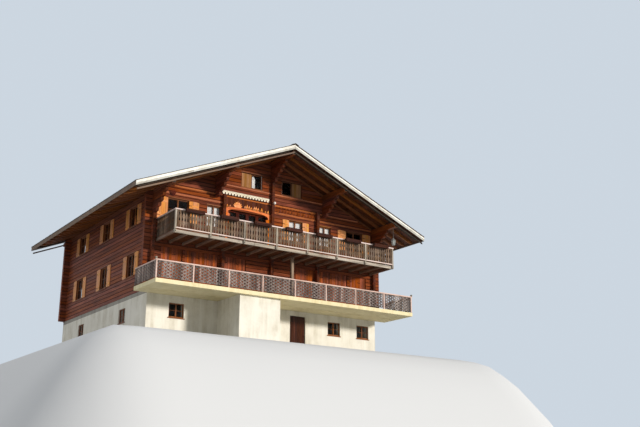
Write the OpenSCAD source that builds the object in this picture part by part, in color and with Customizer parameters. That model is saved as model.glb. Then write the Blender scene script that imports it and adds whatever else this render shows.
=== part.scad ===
// Alpine chalet: a rendered masonry ground storey, two storeys and a gable of squared logs,
// two balconies across the front and a low pitched roof with deep overhangs.
// X runs along the front, +Y into the house, Z up from the ground. Millimetres.

/* [House] */
// Half of the width over the log walls
house_half_w = 6750; // [6700:10:8500]
// Depth over the log walls, front face to back face
house_l = 11400; // [9000:50:14000]
// Height of the ground storey up to the first floor slab's underside
ground_h = 2395; // [2200:5:2900]
// Thickness of the first floor slab and of the lower balcony slab
slab_t = 190; // [140:5:240]
// Height from the lower balcony's floor to the upper floor's top
lower_storey_h = 2496; // [2400:4:3000]
// Height from the upper floor's top to the attic floor's top
upper_storey_h = 2304; // [2292:4:2800]
// Height of the side walls under the eave purlins, above the upper floor
side_wall_h = 2185; // [2155:5:2600]

/* [Walls] */
// Thickness of the squared logs
log_t = 200; // [160:5:220]
// Wanted height of one log course
log_h = 192; // [150:2:240]
// Depth of the groove between two courses
log_groove = 14; // [6:1:20]
// How far the logs run past a corner
log_end = 330; // [200:10:400]
// Thickness of the masonry walls
masonry_t = 350; // [300:10:450]
// Distance of the inner cross walls from the centre
cross_wall_x = 2870; // [2800:10:3100]
// Width of the columns of crossing log ends
cross_log_w = 160; // [120:5:180]

/* [Floors] */
// Thickness of the ground floor slab
ground_floor_t = 120; // [100:10:200]
// Thickness of the timber floors
timber_floor_t = 150; // [120:5:180]

/* [Roof] */
// Rise of the roof for each unit of run
roof_rise = 0.42; // [0.36:0.02:0.6]
// Overhang of the roof past the side walls
eave_overhang = 1820; // [1400:10:2000]
// Overhang of the roof past the front wall
front_overhang = 2200; // [2150:10:2400]
// Overhang of the roof past the back wall
back_overhang = 1300; // [1000:10:1800]
// Height of the rafters, measured plumb
rafter_h = 140; // [110:5:180]
// Width of a rafter
rafter_w = 120; // [80:5:140]
// Wanted spacing of the rafters
rafter_pitch = 660; // [500:10:900]
// Plumb thickness of the boarding and battens over the rafters
boarding_t = 130; // [80:5:160]
// Plumb thickness of the shingle covering
covering_t = 60; // [40:5:90]
// Height of the pale barge boards, measured plumb
barge_h = 220; // [180:5:250]
// Thickness of the barge boards and eave boards
barge_t = 30; // [20:2:45]
// Height of the boards that cover the purlin ends
cover_board_h = 80; // [60:5:160]
// Height of the purlins under the rafters
purlin_h = 240; // [180:10:280]
// Width of the purlins
purlin_w = 200; // [160:5:240]
// Distance of the middle purlins from the centre
mid_purlin_x = 3290; // [3250:10:3500]

/* [Log corbels] */
// Reach of the longest log under a purlin
corbel_reach = 1400; // [1200:10:1700]
// Reach of the longest log under a purlin at the back
back_corbel_reach = 900; // [600:10:900]
// Number of stepped logs in a corbel
corbel_logs = 5; // [3:1:6]
// Height of one stepped log
corbel_log_h = 195; // [160:5:210]
// Reach of the plain column of log ends
column_reach = 180; // [120:10:350]

/* [Upper balcony] */
// Half of the length of the upper balcony
balcony_half_w = 6480; // [6200:10:6500]
// Depth of the upper balcony, wall to fascia front
balcony_d = 2000; // [1700:10:2050]
// Height of the fascia beam
fascia_h = 150; // [130:5:220]
// Thickness of the fascia beam
fascia_t = 80; // [50:5:100]
// Height of the joists under the boards
joist_h = 120; // [100:5:150]
// Width of a joist
joist_w = 110; // [80:5:140]
// Thickness of the floor boards
deck_t = 35; // [25:5:45]
// Number of railing bays
balcony_bays = 7; // [5:1:9]
// Height of the handrail's top above the floor boards
railing_h = 1000; // [950:10:1100]
// Width of the railing posts
post_w = 90; // [60:5:110]
// Depth of the railing posts
post_d = 70; // [50:5:90]

/* [Lower balcony] */
// Half of the length of the lower balcony
lower_half_w = 7430; // [7400:10:7600]
// Depth of the lower balcony
lower_d = 2400; // [2250:10:2600]
// Number of railing bays on the lower balcony
lower_bays = 8; // [6:1:10]
// Height of the lower handrail's top above the slab
lower_railing_h = 880; // [850:10:1050]

/* [Windows] */
// Width of the bar of a window frame
frame_bar = 60; // [45:5:80]
// Depth of a window frame
frame_d = 70; // [50:5:90]
// Depth of a window frame's face behind the wall face
frame_set = 50; // [20:5:60]
// Height of the main window sills above the upper floor
sill_h = 1030; // [900:10:1100]
// Height of the main windows
window_h = 1120; // [1000:10:1150]
// Height of the attic window sills above the attic floor
attic_sill_h = 1170; // [850:10:1180]
// Height of the attic windows
attic_window_h = 810; // [700:10:820]
// Width of the attic windows
attic_window_w = 1260; // [900:10:1270]
// Distance of the attic windows from the centre
attic_window_x = 1240; // [1100:10:1250]
// Height of the plank doors on the lower balcony
plank_door_h = 2135; // [2000:5:2150]
// Thickness of shutters and plank doors
shutter_t = 35; // [25:1:45]

/* [Loggia] */
// Width of the opening behind the carved arch
loggia_w = 2300; // [1900:10:2350]
// Height of the opening behind the carved arch
loggia_h = 2130; // [2000:10:2150]
// Rise of the arch in its carved board
arch_rise = 220; // [150:10:300]
// Thickness of the carved boards
carved_t = 30; // [20:2:40]

/* [Hidden] */

front_y = -house_l / 2;
back_y = house_l / 2;

// Levels
slab_top = ground_h + slab_t;
upper_floor_top = slab_top + lower_storey_h;
attic_floor_top = upper_floor_top + upper_storey_h;
eave_purlin_bottom = upper_floor_top + side_wall_h;
deck_bottom = upper_floor_top - deck_t;
joist_bottom = deck_bottom - joist_h;
fascia_top = joist_bottom + fascia_h;

// Roof lines: the ridge follows from the side walls, the purlins and the rise
roof_half_w = house_half_w + eave_overhang;
eave_purlin_x = house_half_w - purlin_w / 2;
ridge_top = eave_purlin_bottom + purlin_h + rafter_h + boarding_t + roof_rise * eave_purlin_x;
verge_front = front_y - front_overhang;
verge_back = back_y + back_overhang;
function roof_top(x) = ridge_top - roof_rise * abs(x);
function rafter_top(x) = roof_top(x) - boarding_t;
function rafter_under(x) = rafter_top(x) - rafter_h;
function purlin_bottom(x) = rafter_under(x) - purlin_h;

// The two halves of the roof meet with a thin joint at the ridge
ridge_joint = 5;
covering_lip = 20;
eave_lip = 30;
rafter_end_gap = 60;
purlin_end_y = 80;
cover_board_t = 50;
cover_board_drop = 350;
cap_half_w = 190;
cap_t = 30;

// Bays and repeats
rafter_count = round((house_l - log_t) / rafter_pitch);
rafter_step = (house_l - log_t) / rafter_count;
front_rafters = floor((front_overhang - barge_t - rafter_w / 2) / rafter_step);
back_rafters = floor((back_overhang - barge_t - rafter_w / 2) / rafter_step);
bay_w = (2 * balcony_half_w - post_w) / balcony_bays;
lower_post_w = 60;
lower_bay_w = (2 * lower_half_w - lower_post_w) / lower_bays;
joists_per_cross = 4;
joist_step = cross_wall_x / joists_per_cross;
joist_pairs = floor((balcony_half_w - 1.5 * joist_w) / joist_step);
purlin_xs = [0, -mid_purlin_x, mid_purlin_x, -eave_purlin_x, eave_purlin_x];
corner_column_x = house_half_w - log_t / 2;
column_half = cross_log_w / 2;

// Levels of the string courses; the inner columns end with the middle one
string_h = 60;
frieze_h = 400;
lower_string_rise = 65;
upper_string_rise = 605;
lower_string_z = attic_floor_top + lower_string_rise;
middle_string_z = lower_string_z + frieze_h;
upper_string_z = middle_string_z + upper_string_rise;
column_top = middle_string_z + string_h;

// Windows: centre, width, shutter on the left, shutter on the right
main_windows = [
    [1505, 850, 1, 1], [3400, 780, 0, 0], [5370, 1140, 1, 1],
    [-3400, 780, 0, 0], [-5370, 1140, 1, 1]
];
curtained_windows = [main_windows[0], main_windows[1], main_windows[3]];
back_windows = [
    [-5370, 1140, 1, 1], [-1900, 850, 1, 1], [1900, 850, 1, 1], [5370, 1140, 1, 1]
];
side_windows = [[-3500, 950, 1, 1], [0, 950, 1, 1], [3500, 950, 1, 1]];
attic_windows = [[-attic_window_x, attic_window_w, 0, 0], [attic_window_x, attic_window_w, 0, 0]];
ground_windows = [[-5200, 800, 0, 0], [4000, 800, 0, 0], [5900, 800, 0, 0]];
ground_side_windows = [[-2800, 800, 0, 0], [2800, 800, 0, 0]];
lower_window_h = 1150;
lower_sill_h = 950;
side_window_h = 1030;
ground_window_h = 700;
ground_sill_h = 1350;
shutter_gap = 20;
// Plank doors of the lower balcony: near edge, far edge, number of leaves
plank_openings = [[1480, 2740, 2], [3080, 4880, 3], [5020, 6150, 2]];
leaf_gap = 4;
cellar_door_x = 1700;
cellar_door_w = 950;
cellar_door_h = 2030;
loggia_x = -1395;
loggia_leaves = 4;
glass_t = 20;
curtain_t = 15;
curtain_set = 10;
rail_h = 60;
rail_w = 120;
bottom_rail_h = 50;
bottom_rail_t = 20;
fretwork_t = 25;
fretwork_cut_r = 26;
cut = 10;

// Places a child drawn in wall coordinates: x along the wall, y into it from its outer face
module on_wall(side) {
    if (side == "front") translate([0, front_y, 0]) children();
    if (side == "back") translate([0, back_y, 0]) rotate([0, 0, 180]) children();
    if (side == "right") translate([house_half_w, 0, 0]) rotate([0, 0, 90]) children();
    if (side == "left") translate([-house_half_w, 0, 0]) rotate([0, 0, -90]) children();
}

// A box given by its lowest and highest corners
module box(low, high) {
    translate(low) cube(high - low);
}

// A profile in the XZ plane extruded along Y
module along_y(y_from, y_to) {
    translate([0, y_to, 0]) rotate([90, 0, 0]) linear_extrude(y_to - y_from) children();
}

// A profile in the YZ plane, first coordinate y, extruded along X
module along_x(x_from, x_to) {
    translate([x_from, 0, 0]) rotate([90, 0, 90]) linear_extrude(x_to - x_from) children();
}

function courses(z_from, z_to) = round((z_to - z_from) / log_h);

// Cross section of a wall of squared logs with a groove at each joint on both faces
function log_section(z_from, z_to) =
    let (n = courses(z_from, z_to), h = (z_to - z_from) / n)
    concat(
        [[0, z_from]],
        [for (k = [1 : n - 1]) for (p = [[0, -log_groove], [log_groove, 0], [0, log_groove]])
            [p[0], z_from + k * h + p[1]]],
        [[0, z_to], [log_t, z_to]],
        [for (k = [n - 1 : -1 : 1]) for (p = [[0, log_groove], [log_groove, 0], [0, -log_groove]])
            [log_t - p[0], z_from + k * h + p[1]]],
        [[log_t, z_from]]
    );

module log_panel(x_from, x_to, z_from, z_to) {
    along_x(x_from, x_to) polygon(log_section(z_from, z_to));
}

// The slots where the crossing wall's logs lie: phase 0 at the joints, 0.5 at mid course
module crossing_slots(x_mid, z_from, z_to, phase) {
    n = courses(z_from, z_to);
    h = (z_to - z_from) / n;
    for (k = [0 : n])
        let (z = z_from + (k + phase) * h)
        box([x_mid - log_t / 2, -cut, max(z - h / 4, z_from - cut)],
            [x_mid + log_t / 2, log_t + cut, min(z + h / 4, z_to + cut)]);
}

// Everything under the rafters, as a gable shaped prism through the house
module under_rafters() {
    reach = house_half_w + log_end + cut;
    along_y(front_y - cut, back_y + cut)
        polygon([[-reach, 0], [reach, 0], [reach, rafter_under(reach)], [0, rafter_under(0)],
            [-reach, rafter_under(reach)]]);
}

// One opening through a wall
module hole(x, w, z_from, z_to, t) {
    box([x - w / 2, -cut, z_from], [x + w / 2, t + cut, z_to]);
}

module holes(windows, z_from, z_to, t) {
    for (w = windows) hole(w[0], w[1], z_from, z_to, t);
}

// A front or back storey of logs, with its corner slots and log ends
module gable_side_panel(z_from, z_to) {
    corner = house_half_w - log_t / 2;
    difference() {
        log_panel(-house_half_w - log_end, house_half_w + log_end, z_from, z_to);
        for (x = [-corner, corner]) crossing_slots(x, z_from, z_to, 0);
    }
}

// A left or right storey of logs
module eave_side_panel(z_from, z_to, slot_top) {
    corner = house_l / 2 - log_t / 2;
    difference() {
        log_panel(-house_l / 2, house_l / 2, z_from, z_to);
        intersection() {
            union() for (x = [-corner, corner]) crossing_slots(x, z_from, slot_top, 0.5);
            box([-house_l, -2 * cut, z_from - 2 * cut], [house_l, log_t + 2 * cut, z_to + cut]);
        }
    }
}

module mirrored_plank_holes() {
    for (side = [-1, 1]) for (p = plank_openings)
        let (mid = side * (p[0] + p[1]) / 2)
        hole(mid, p[1] - p[0], slab_top - cut, slab_top + plank_door_h, log_t);
}

// Room for the purlins in the gable walls, open at the top where the rafters close them
module purlin_slots() {
    for (x = purlin_xs)
        box([x - purlin_w / 2, front_y - cut, purlin_bottom(x)],
            [x + purlin_w / 2, back_y + cut, rafter_under(0) + cut]);
}

// Ground storey

module ground_floor() {
    inner_w = house_half_w - masonry_t;
    color("silver") box([-inner_w, front_y + masonry_t, 0], [inner_w, back_y - masonry_t, ground_floor_t]);
}

module ground_long_wall(windows) {
    difference() {
        box([-house_half_w, 0, 0], [house_half_w, masonry_t, ground_h]);
        holes(windows, ground_sill_h, ground_sill_h + ground_window_h, masonry_t);
        children();
    }
}

module ground_front_wall() {
    color("ivory") on_wall("front") ground_long_wall(ground_windows)
        hole(cellar_door_x, cellar_door_w, ground_floor_t, ground_floor_t + cellar_door_h, masonry_t);
}

module ground_back_wall() {
    color("ivory") on_wall("back") ground_long_wall(ground_windows);
}

module ground_short_wall() {
    inner = house_l / 2 - masonry_t;
    difference() {
        box([-inner, 0, 0], [inner, masonry_t, ground_h]);
        holes(ground_side_windows, ground_sill_h, ground_sill_h + ground_window_h, masonry_t);
    }
}

module ground_left_wall() {
    color("ivory") on_wall("left") ground_short_wall();
}

module ground_right_wall() {
    color("ivory") on_wall("right") ground_short_wall();
}

porch_x = [-3000, -750];
porch_d = 2200;
porch_t = 250;
porch_way_w = 900;
porch_way_h = 2000;

// Projecting masonry under the lower balcony, open on its right side
module porch_walls() {
    way_mid = front_y - porch_d / 2;
    color("ivory") difference() {
        box([porch_x[0], front_y - porch_d, 0], [porch_x[1], front_y, ground_h]);
        box([porch_x[0] + porch_t, front_y - porch_d + porch_t, -cut],
            [porch_x[1] - porch_t, front_y + cut, ground_h + cut]);
        box([porch_x[1] - porch_t - cut, way_mid - porch_way_w / 2, -cut],
            [porch_x[1] + cut, way_mid + porch_way_w / 2, porch_way_h]);
    }
}

module cellar_door() {
    half = cellar_door_w / 2;
    color("saddlebrown") on_wall("front")
        box([cellar_door_x - half, frame_set, ground_floor_t],
            [cellar_door_x + half, frame_set + frame_d, ground_floor_t + cellar_door_h]);
}

module first_floor() {
    color("silver") box([-house_half_w, front_y, ground_h], [house_half_w, back_y, slab_top]);
}

drip_w = 60;
drip_h = 12;
drip_y = 1000;

// Cantilevered slab with a joint line in its underside
module lower_balcony_slab() {
    color("lemonchiffon") difference() {
        box([-lower_half_w, front_y - lower_d, ground_h], [lower_half_w, front_y, slab_top]);
        box([-lower_half_w - cut, front_y - drip_y - drip_w / 2, ground_h - cut],
            [lower_half_w + cut, front_y - drip_y + drip_w / 2, ground_h + drip_h]);
    }
}

// Log storeys

module front_lower_wall() {
    color("sienna") difference() {
        on_wall("front") gable_side_panel(slab_top, upper_floor_top);
        on_wall("front") mirrored_plank_holes();
    }
}

module back_lower_wall() {
    color("sienna") on_wall("back") difference() {
        gable_side_panel(slab_top, upper_floor_top);
        holes(back_windows, slab_top + lower_sill_h, slab_top + lower_sill_h + lower_window_h, log_t);
    }
}

module front_upper_wall() {
    sill = upper_floor_top + sill_h;
    color("sienna") difference() {
        intersection() {
            on_wall("front") gable_side_panel(upper_floor_top, attic_floor_top);
            under_rafters();
        }
        on_wall("front") holes(main_windows, sill, sill + window_h, log_t);
        on_wall("front")
            hole(loggia_x, loggia_w, upper_floor_top - cut, upper_floor_top + loggia_h, log_t);
        purlin_slots();
    }
}

module back_upper_wall() {
    sill = upper_floor_top + sill_h;
    color("sienna") difference() {
        intersection() {
            on_wall("back") gable_side_panel(upper_floor_top, attic_floor_top);
            under_rafters();
        }
        on_wall("back") holes(back_windows, sill, sill + window_h, log_t);
        purlin_slots();
    }
}

module gable(side) {
    top = attic_floor_top + log_h * ceil((rafter_under(0) - attic_floor_top) / log_h);
    sill = attic_floor_top + attic_sill_h;
    difference() {
        intersection() {
            on_wall(side) log_panel(-house_half_w, house_half_w, attic_floor_top, top);
            under_rafters();
        }
        on_wall(side) holes(attic_windows, sill, sill + attic_window_h, log_t);
        purlin_slots();
    }
}

module front_gable() {
    color("sienna") gable("front");
}

module back_gable() {
    color("sienna") gable("back");
}

module side_lower_wall() {
    difference() {
        eave_side_panel(slab_top, upper_floor_top, upper_floor_top);
        holes(side_windows, slab_top + lower_sill_h, slab_top + lower_sill_h + lower_window_h, log_t);
    }
}

// The side walls share the front wall's courses, and stop under the eave purlins
module side_upper_wall() {
    sill = upper_floor_top + sill_h;
    difference() {
        intersection() {
            eave_side_panel(upper_floor_top, attic_floor_top, attic_floor_top);
            box([-house_l, -cut, 0], [house_l, log_t + cut, eave_purlin_bottom]);
        }
        holes(side_windows, sill, sill + side_window_h, log_t);
    }
}

module left_lower_wall() {
    color("sienna") on_wall("left") side_lower_wall();
}

module right_lower_wall() {
    color("sienna") on_wall("right") side_lower_wall();
}

module left_upper_wall() {
    color("sienna") on_wall("left") side_upper_wall();
}

module right_upper_wall() {
    color("sienna") on_wall("right") side_upper_wall();
}

module timber_floor(top) {
    inner_w = house_half_w - log_t;
    box([-inner_w, front_y + log_t, top - timber_floor_t], [inner_w, back_y - log_t, top]);
}

module upper_floor() {
    color("burlywood") timber_floor(upper_floor_top);
}

module attic_floor() {
    color("burlywood") timber_floor(attic_floor_top);
}

// Column of crossing log ends in wall coordinates, growing into a stepped corbel under a purlin
module log_column(x, z_from, z_to, longest) {
    step = (longest - column_reach) / corbel_logs;
    corbel_from = z_to - corbel_logs * corbel_log_h;
    along_x(x - cross_log_w / 2, x + cross_log_w / 2) {
        translate([-column_reach, z_from]) square([column_reach, z_to - z_from]);
        for (k = [0 : corbel_logs - 1])
            let (reach = column_reach + (k + 1) * step, z = corbel_from + k * corbel_log_h) {
                translate([-reach + corbel_log_h / 2, z])
                    square([reach - corbel_log_h / 2, corbel_log_h]);
                translate([-reach + corbel_log_h / 2, z + corbel_log_h / 2])
                    circle(d = corbel_log_h, $fn = 40);
            }
    }
}

module plain_column(x, z_from, z_to) {
    box([x - cross_log_w / 2, -column_reach, z_from], [x + cross_log_w / 2, 0, z_to]);
}

// A corbel without a column, at its own purlin
module log_corbel(x, longest) {
    top = purlin_bottom(x);
    log_column(x, top - corbel_logs * corbel_log_h, top, longest);
}

module log_ends() {
    color("saddlebrown") {
        for (x = [-cross_wall_x, 0, cross_wall_x])
            on_wall("front") plain_column(x, slab_top, joist_bottom);
        for (x = [-cross_wall_x, cross_wall_x]) {
            on_wall("front") plain_column(x, upper_floor_top, column_top);
            on_wall("back") plain_column(x, slab_top, column_top);
        }
        on_wall("front") log_column(0, upper_floor_top, purlin_bottom(0), corbel_reach);
        on_wall("back") log_column(0, slab_top, purlin_bottom(0), back_corbel_reach);
        for (x = [-mid_purlin_x, mid_purlin_x]) {
            on_wall("front") log_corbel(x, corbel_reach);
            on_wall("back") log_corbel(x, back_corbel_reach);
        }
        for (x = [-corner_column_x, corner_column_x]) {
            on_wall("front") log_column(x, slab_top, purlin_bottom(eave_purlin_x), corbel_reach);
            on_wall("back") log_column(x, slab_top, purlin_bottom(eave_purlin_x), back_corbel_reach);
        }
    }
}

// Roof

// A band that follows one side of the roof, given by its plumb depths below the roof line
module roof_band(x_from, x_to, top_drop, bottom_drop, y_from, y_to, side) {
    along_y(y_from, y_to)
        polygon([
            [side * x_from, roof_top(x_from) - top_drop],
            [side * x_to, roof_top(x_to) - top_drop],
            [side * x_to, roof_top(x_to) - bottom_drop],
            [side * x_from, roof_top(x_from) - bottom_drop]
        ]);
}

// A purlin whose top lies flush under the rafters
module purlin(x, y_from, y_to) {
    low = purlin_bottom(x);
    left = x - purlin_w / 2;
    right = x + purlin_w / 2;
    crown = x == 0 ? [[0, rafter_under(0)]] : [];
    along_y(y_from, y_to)
        polygon(concat([[left, low], [right, low], [right, rafter_under(right)]], crown,
            [[left, rafter_under(left)]]));
}

module purlins() {
    color("sienna") for (x = purlin_xs)
        purlin(x, verge_front + purlin_end_y, verge_back - purlin_end_y);
}

module rafters() {
    drop = boarding_t;
    color("peru") for (side = [-1, 1]) for (k = [-front_rafters : rafter_count + back_rafters])
        let (y = front_y + log_t / 2 + k * rafter_step)
        roof_band(ridge_joint, roof_half_w - barge_t - rafter_end_gap, drop, drop + rafter_h,
            y - rafter_w / 2, y + rafter_w / 2, side);
}

// Boards nailed across the purlin ends, below the barge boards
module purlin_end_boards() {
    front_face = verge_front + purlin_end_y;
    back_face = verge_back - purlin_end_y;
    color("tan") for (side = [-1, 1]) {
        roof_band(ridge_joint, roof_half_w - barge_t - rafter_end_gap, cover_board_drop,
            cover_board_drop + cover_board_h, front_face - cover_board_t, front_face, side);
        roof_band(ridge_joint, roof_half_w - barge_t - rafter_end_gap, cover_board_drop,
            cover_board_drop + cover_board_h, back_face, back_face + cover_board_t, side);
    }
}

module roof_boarding() {
    color("peru") for (side = [-1, 1])
        roof_band(ridge_joint, roof_half_w - barge_t, 0, boarding_t, verge_front, verge_back, side);
}

module roof_covering() {
    color("dimgray") for (side = [-1, 1])
        roof_band(ridge_joint, roof_half_w + eave_lip, -covering_t, 0,
            verge_front - barge_t - covering_lip, verge_back + barge_t + covering_lip, side);
}

module ridge_cap() {
    low = ridge_top + covering_t;
    edge = low - roof_rise * cap_half_w;
    color("dimgray") along_y(verge_front - barge_t - covering_lip, verge_back + barge_t + covering_lip)
        polygon([[-cap_half_w, edge], [0, low], [cap_half_w, edge], [cap_half_w, edge + cap_t],
            [0, low + cap_t], [-cap_half_w, edge + cap_t]]);
}

module barge_boards() {
    color("ivory") for (side = [-1, 1]) {
        roof_band(ridge_joint, roof_half_w, 0, barge_h, verge_front - barge_t, verge_front, side);
        roof_band(ridge_joint, roof_half_w, 0, barge_h, verge_back, verge_back + barge_t, side);
    }
}

module eave_boards() {
    color("tan") for (side = [-1, 1])
        roof_band(roof_half_w - barge_t, roof_half_w, 0, barge_h, verge_front, verge_back, side);
}

// Upper balcony

joist_front_y = front_y - balcony_d + fascia_t;
end_joist_x = balcony_half_w - joist_w / 2;

module balcony_joists() {
    mids = [for (k = [-joist_pairs : joist_pairs]) k * joist_step];
    color("sienna") for (x = concat([-end_joist_x], mids, [end_joist_x]))
        box([x - joist_w / 2, joist_front_y, joist_bottom], [x + joist_w / 2, front_y, deck_bottom]);
}

module balcony_floor() {
    color("tan") box([-balcony_half_w, joist_front_y, deck_bottom],
        [balcony_half_w, front_y, upper_floor_top]);
}

module balcony_fascia() {
    color("darkgray") box([-balcony_half_w, front_y - balcony_d, joist_bottom],
        [balcony_half_w, joist_front_y, fascia_top]);
}

support_w = 180;
support_set = 1000;

// Post between the two balconies, under the first joist right of the centre
module balcony_post() {
    near_y = front_y - support_set;
    color("darkgray") box([joist_step - support_w / 2, near_y, slab_top],
        [joist_step + support_w / 2, near_y + support_w, joist_bottom]);
}

rail_bottom = upper_floor_top + railing_h - rail_h;
post_front_y = front_y - balcony_d - post_d;
post_drop = 25;
rail_y = front_y - balcony_d - post_d / 2;
fret_gap = 25;
fret_bottom = fascia_top + fret_gap;
bottom_rail_gap = 55;
bottom_rail_z = fascia_top + bottom_rail_gap;
bottom_rail_set = 5;
fret_y = post_front_y + bottom_rail_set + bottom_rail_t;
post_xs = [for (k = [0 : balcony_bays]) -balcony_half_w + post_w / 2 + k * bay_w];
return_x = balcony_half_w - post_w / 2;

module railing_posts() {
    color("darkgray") for (x = post_xs)
        box([x - post_w / 2, post_front_y, joist_bottom - post_drop],
            [x + post_w / 2, front_y - balcony_d, rail_bottom]);
}

module railing_rails() {
    color("rosybrown") {
        box([-return_x - rail_w / 2, rail_y - rail_w / 2, rail_bottom],
            [return_x + rail_w / 2, rail_y + rail_w / 2, rail_bottom + rail_h]);
        for (side = [-1, 1])
            box([side * return_x - rail_w / 2, rail_y + rail_w / 2 + leaf_gap, rail_bottom],
                [side * return_x + rail_w / 2, front_y, rail_bottom + rail_h]);
        for (k = [0 : balcony_bays - 1])
            box([post_xs[k] + post_w / 2, fret_y - bottom_rail_t, bottom_rail_z],
                [post_xs[k + 1] - post_w / 2, fret_y, bottom_rail_z + bottom_rail_h]);
    }
}

// A panel of fretwork boards in wall coordinates, with cut-outs at each joint between boards
module fretwork(x_from, x_to, z_from, z_to, boards, hole_rows) {
    w = (x_to - x_from) / boards;
    h = (z_to - z_from) / (hole_rows + 1);
    difference() {
        box([x_from, 0, z_from], [x_to, fretwork_t, z_to]);
        for (i = [1 : boards - 1]) for (j = [1 : hole_rows])
            translate([x_from + i * w, -cut, z_from + j * h]) rotate([-90, 0, 0])
                cylinder(r = fretwork_cut_r, h = fretwork_t + 2 * cut, $fn = 24);
    }
}

return_boards = 12;
bay_boards = 11;
fret_rows = 3;

module railing_fretwork() {
    color("dimgray") {
        for (k = [0 : balcony_bays - 1])
            translate([0, fret_y, 0])
                fretwork(post_xs[k] + post_w / 2, post_xs[k + 1] - post_w / 2, fret_bottom, rail_bottom,
                    bay_boards, fret_rows);
        for (side = [-1, 1])
            translate([side * return_x + fretwork_t / 2, 0, 0]) rotate([0, 0, 90])
                fretwork(front_y - balcony_d, front_y, fret_bottom, rail_bottom, return_boards, fret_rows);
    }
}

planter_l = 950;
planter_w = 190;
planter_h = 170;
planter_t = 18;
planter_rise = 20;

// Timber boxes outside the handrail, one in the middle of each bay
module flower_boxes() {
    near_y = rail_y - rail_w / 2;
    color("saddlebrown") for (k = [0 : balcony_bays - 1])
        let (x = post_xs[k] + bay_w / 2, top = rail_bottom + rail_h + planter_rise)
        difference() {
            box([x - planter_l / 2, near_y - planter_w, top - planter_h], [x + planter_l / 2, near_y, top]);
            box([x - planter_l / 2 + planter_t, near_y - planter_w + planter_t,
                    top - planter_h + planter_t],
                [x + planter_l / 2 - planter_t, near_y - planter_t, top + cut]);
        }
}

// Lower balcony railing

lower_rail_bottom = slab_top + lower_railing_h - rail_h;
lower_post_xs = [for (k = [0 : lower_bays]) -lower_half_w + lower_post_w / 2 + k * lower_bay_w];
lower_post_y = front_y - lower_d + lower_post_w;
lower_rail_w = 90;
lower_fret_gap = 70;
lower_return_x = lower_half_w - lower_post_w / 2;
lower_boards = 14;
lower_rows = 4;
knob_d = 120;
knob_sink = 12;

module lower_railing_posts() {
    color("darkgray") for (x = lower_post_xs)
        box([x - lower_post_w / 2, lower_post_y - lower_post_w / 2, slab_top],
            [x + lower_post_w / 2, lower_post_y + lower_post_w / 2, lower_rail_bottom]);
}

module lower_railing_rails() {
    color("rosybrown") {
        box([-lower_half_w, lower_post_y - lower_rail_w / 2, lower_rail_bottom],
            [lower_half_w, lower_post_y + lower_rail_w / 2, lower_rail_bottom + rail_h]);
        for (side = [-1, 1]) {
            translate([side * lower_return_x, lower_post_y,
                    lower_rail_bottom + rail_h + knob_d / 2 - knob_sink])
                sphere(d = knob_d, $fn = 40);
            box([side * lower_return_x - lower_post_w / 2, lower_post_y + lower_rail_w / 2 + leaf_gap,
                    lower_rail_bottom],
                [side * lower_return_x + lower_post_w / 2, front_y, lower_rail_bottom + rail_h]);
        }
    }
}

module lower_railing_fretwork() {
    low = slab_top + lower_fret_gap;
    color("dimgray") {
        for (k = [0 : lower_bays - 1])
            translate([0, lower_post_y - fretwork_t / 2, 0])
                fretwork(lower_post_xs[k] + lower_post_w / 2, lower_post_xs[k + 1] - lower_post_w / 2,
                    low, lower_rail_bottom, lower_boards, lower_rows);
        for (side = [-1, 1])
            translate([side * lower_return_x + fretwork_t / 2, 0, 0]) rotate([0, 0, 90])
                fretwork(lower_post_y + lower_post_w / 2, front_y, low, lower_rail_bottom,
                    lower_boards, lower_rows);
    }
}

// Windows, shutters and doors

// One frame with a middle post, in wall coordinates
module window_frame(x, w, z_from, z_to) {
    light = (w - 3 * frame_bar) / 2;
    difference() {
        box([x - w / 2, frame_set, z_from], [x + w / 2, frame_set + frame_d, z_to]);
        for (left = [x - w / 2 + frame_bar, x + frame_bar / 2])
            box([left, frame_set - cut, z_from + frame_bar],
                [left + light, frame_set + frame_d + cut, z_to - frame_bar]);
    }
}

module window_panes(x, w, z_from, z_to) {
    light = (w - 3 * frame_bar) / 2;
    mid = frame_set + frame_d / 2;
    for (left = [x - w / 2 + frame_bar, x + frame_bar / 2])
        box([left, mid - glass_t / 2, z_from + frame_bar],
            [left + light, mid + glass_t / 2, z_to - frame_bar]);
}

// Calls a child for each row of windows, with the row's wall, list, sill and height
rows = [
    ["front", main_windows, upper_floor_top + sill_h, window_h],
    ["back", back_windows, upper_floor_top + sill_h, window_h],
    ["front", attic_windows, attic_floor_top + attic_sill_h, attic_window_h],
    ["back", attic_windows, attic_floor_top + attic_sill_h, attic_window_h],
    ["back", back_windows, slab_top + lower_sill_h, lower_window_h],
    ["left", side_windows, slab_top + lower_sill_h, lower_window_h],
    ["right", side_windows, slab_top + lower_sill_h, lower_window_h],
    ["left", side_windows, upper_floor_top + sill_h, side_window_h],
    ["right", side_windows, upper_floor_top + sill_h, side_window_h],
    ["front", ground_windows, ground_sill_h, ground_window_h],
    ["back", ground_windows, ground_sill_h, ground_window_h],
    ["left", ground_side_windows, ground_sill_h, ground_window_h],
    ["right", ground_side_windows, ground_sill_h, ground_window_h]
];

module window_frames() {
    color("wheat") for (r = rows) for (w = r[1])
        on_wall(r[0]) window_frame(w[0], w[1], r[2], r[2] + r[3]);
}

module window_glass() {
    color("lightblue") {
        for (r = rows) for (w = r[1])
            on_wall(r[0]) window_panes(w[0], w[1], r[2], r[2] + r[3]);
        on_wall("front") for (k = [0 : loggia_leaves - 1])
            let (left = loggia_left + k * leaf_w)
            box([left + door_bar, loggia_set + (frame_d - glass_t) / 2, upper_floor_top + door_panel_h],
                [left + leaf_w - leaf_gap - door_bar, loggia_set + (frame_d + glass_t) / 2,
                    upper_floor_top + loggia_h - door_bar]);
    }
}

module shutter(x_from, x_to, z_from, z_to) {
    box([x_from, -shutter_t, z_from], [x_to, 0, z_to]);
}

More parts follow.
